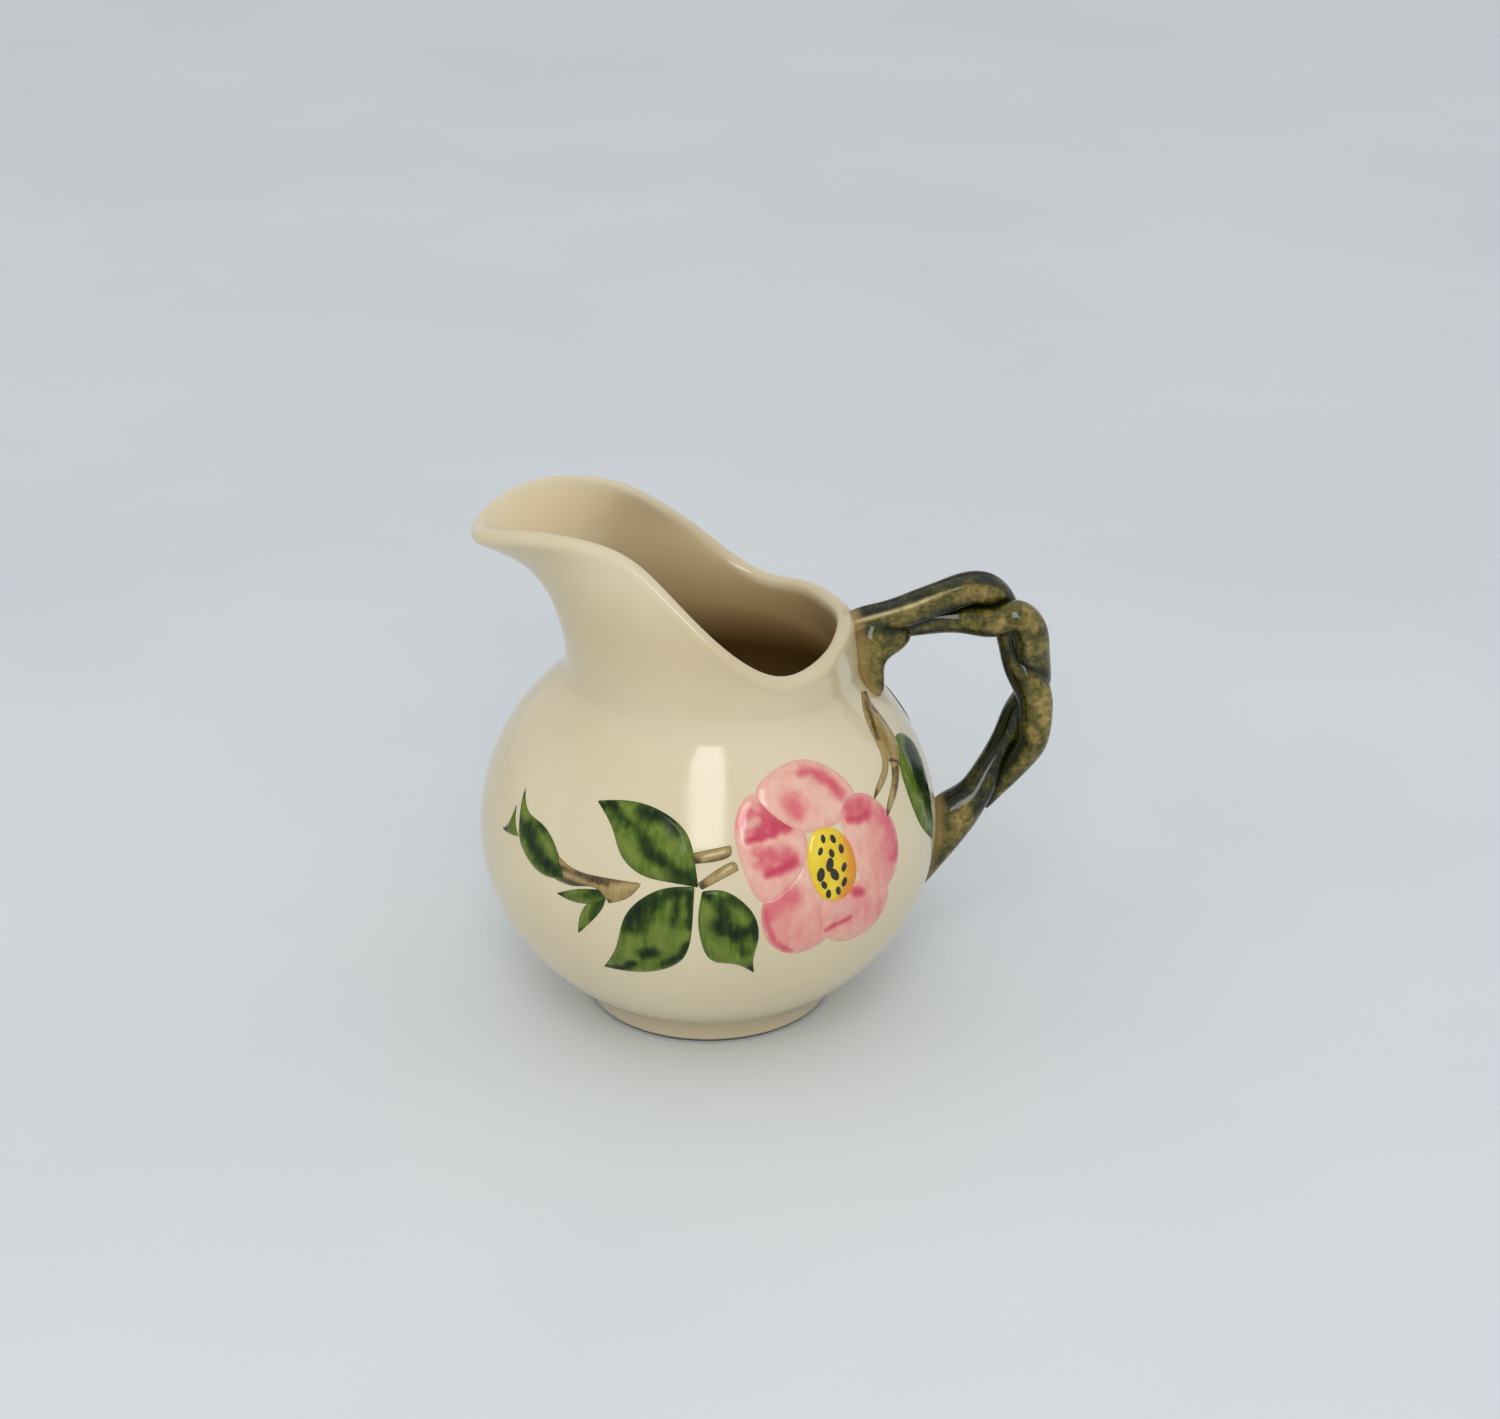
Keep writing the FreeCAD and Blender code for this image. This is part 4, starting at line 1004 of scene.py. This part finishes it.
def stem_glaze():
    """Ochre-brown wash with dark ends."""
    nodes = Nodes("stem_glaze_look")
    tone = nodes.wash(0.8, nodes.swing(nodes.brushed_noise(1400.0, 1.3), 0.5, 0.8), 0.14)
    colour = nodes.ramp(tone, (0.0, (166, 142, 86)), (0.35, (134, 108, 54)), (0.70, (84, 64, 28)),
                        (0.95, (34, 26, 14)))
    # light strokes: wiped paint and painted highlights
    colour = nodes.tint("pale", 0.6, colour, (182, 162, 108))
    colour = nodes.rimmed(0.1, 0.45, 0.45, colour, (96, 78, 38))
    nodes.bump(nodes.noise(300.0, 3.0), 0.2, 0.2)
    return nodes.finish(colour, nodes.mottled(90.0, 0.12, 0.2), IOR=1.52)


def glaze_of(name):
    """The glaze slot of a piece of decoration, from its name."""
    if name == "rose_eye":
        return "eye_glaze"
    if name.startswith("rose_petal"):
        return "petal_glaze"
    if "stem" in name or "twig" in name:
        return "stem_glaze"
    return "leaf_glaze"


# ---- studio
def aimed(data, target, azimuth, elevation, distance):
    """A camera or lamp that looks at the target from that side, level with the horizon."""
    turn, lift = math.radians(azimuth), math.radians(elevation)
    side = Vector((math.sin(turn) * math.cos(lift), -math.cos(turn) * math.cos(lift), math.sin(lift)))
    place = target + side * distance
    back = (place - target).normalized()
    right = Vector((0, 0, 1)).cross(back).normalized()
    thing = bpy.data.objects.new(data.name, data)
    thing.matrix_world = Matrix((*zip(right, back.cross(right), back, place), (0, 0, 0, 1)))
    scene.collection.objects.link(thing)
    return thing


def make_camera():
    azimuth, elevation, distance = -4.0, 24.0, 550 * MM
    sideways = 8.25 * MM
    turn = math.radians(azimuth)
    aim = Vector((math.cos(turn) * sideways, math.sin(turn) * sideways, 60.47 * MM))
    data = bpy.data.cameras.new("photo_camera")
    data.sensor_width = 36.0
    data.lens = 67.8
    scene.camera = aimed(data, aim, azimuth, elevation, distance)


def make_window():
    """A tall window above the camera, whose reflection stands on the belly."""
    data = bpy.data.lights.new("window", "AREA")
    data.shape = "RECTANGLE"
    data.size, data.size_y = 0.36, 0.90
    data.energy = 5.2
    data.color = (0.97, 0.98, 1.0)
    aimed(data, Vector((0, 0, 0.05)), azimuth=-4, elevation=38, distance=1.2)


def make_studio():
    world = bpy.data.worlds.new("soft_room")
    world.use_nodes = True
    sky = world.node_tree.nodes["Background"]
    sky.inputs["Color"].default_value = (0.91, 0.94, 0.97, 1)
    sky.inputs["Strength"].default_value = 0.81
    scene.world = world
    make_window()
    nodes = Nodes("floor_paper")
    colour = nodes.mix(nodes.mottled(6.0, detail=4.0), (211, 215, 217), (217, 220, 220))
    material = nodes.finish(colour, 0.7)
    half = 3.0
    corners = [(-half, -half, 0), (half, -half, 0), (half, half, 0), (-half, half, 0)]
    mesh = bpy.data.meshes.new("floor")
    mesh.from_pydata(corners, [], [(0, 1, 2, 3)])
    mesh.materials.append(material)
    floor = bpy.data.objects.new("floor", mesh)
    scene.collection.objects.link(floor)


scene.view_settings.view_transform = "Standard"
make_camera()
make_studio()
cream = cream_glaze()
bark = bark_glaze()
wall = make_wall(cream)
make_foot(cream)
wall_tree = BVHTree.FromPolygons([vertex.co / MM for vertex in wall.data.vertices],
                                 [tuple(face.vertices) for face in wall.data.polygons])
for name in STRANDS:
    make_twig(name, wall_tree, bark)
glazes = {make.__name__: make() for make in (petal_glaze, eye_glaze, leaf_glaze, stem_glaze)}
for name in RELIEF:
    make_relief(name, wall_tree, glazes[glaze_of(name)], glaze_of(name))
make_stamens(wall_tree, stamen_glaze())
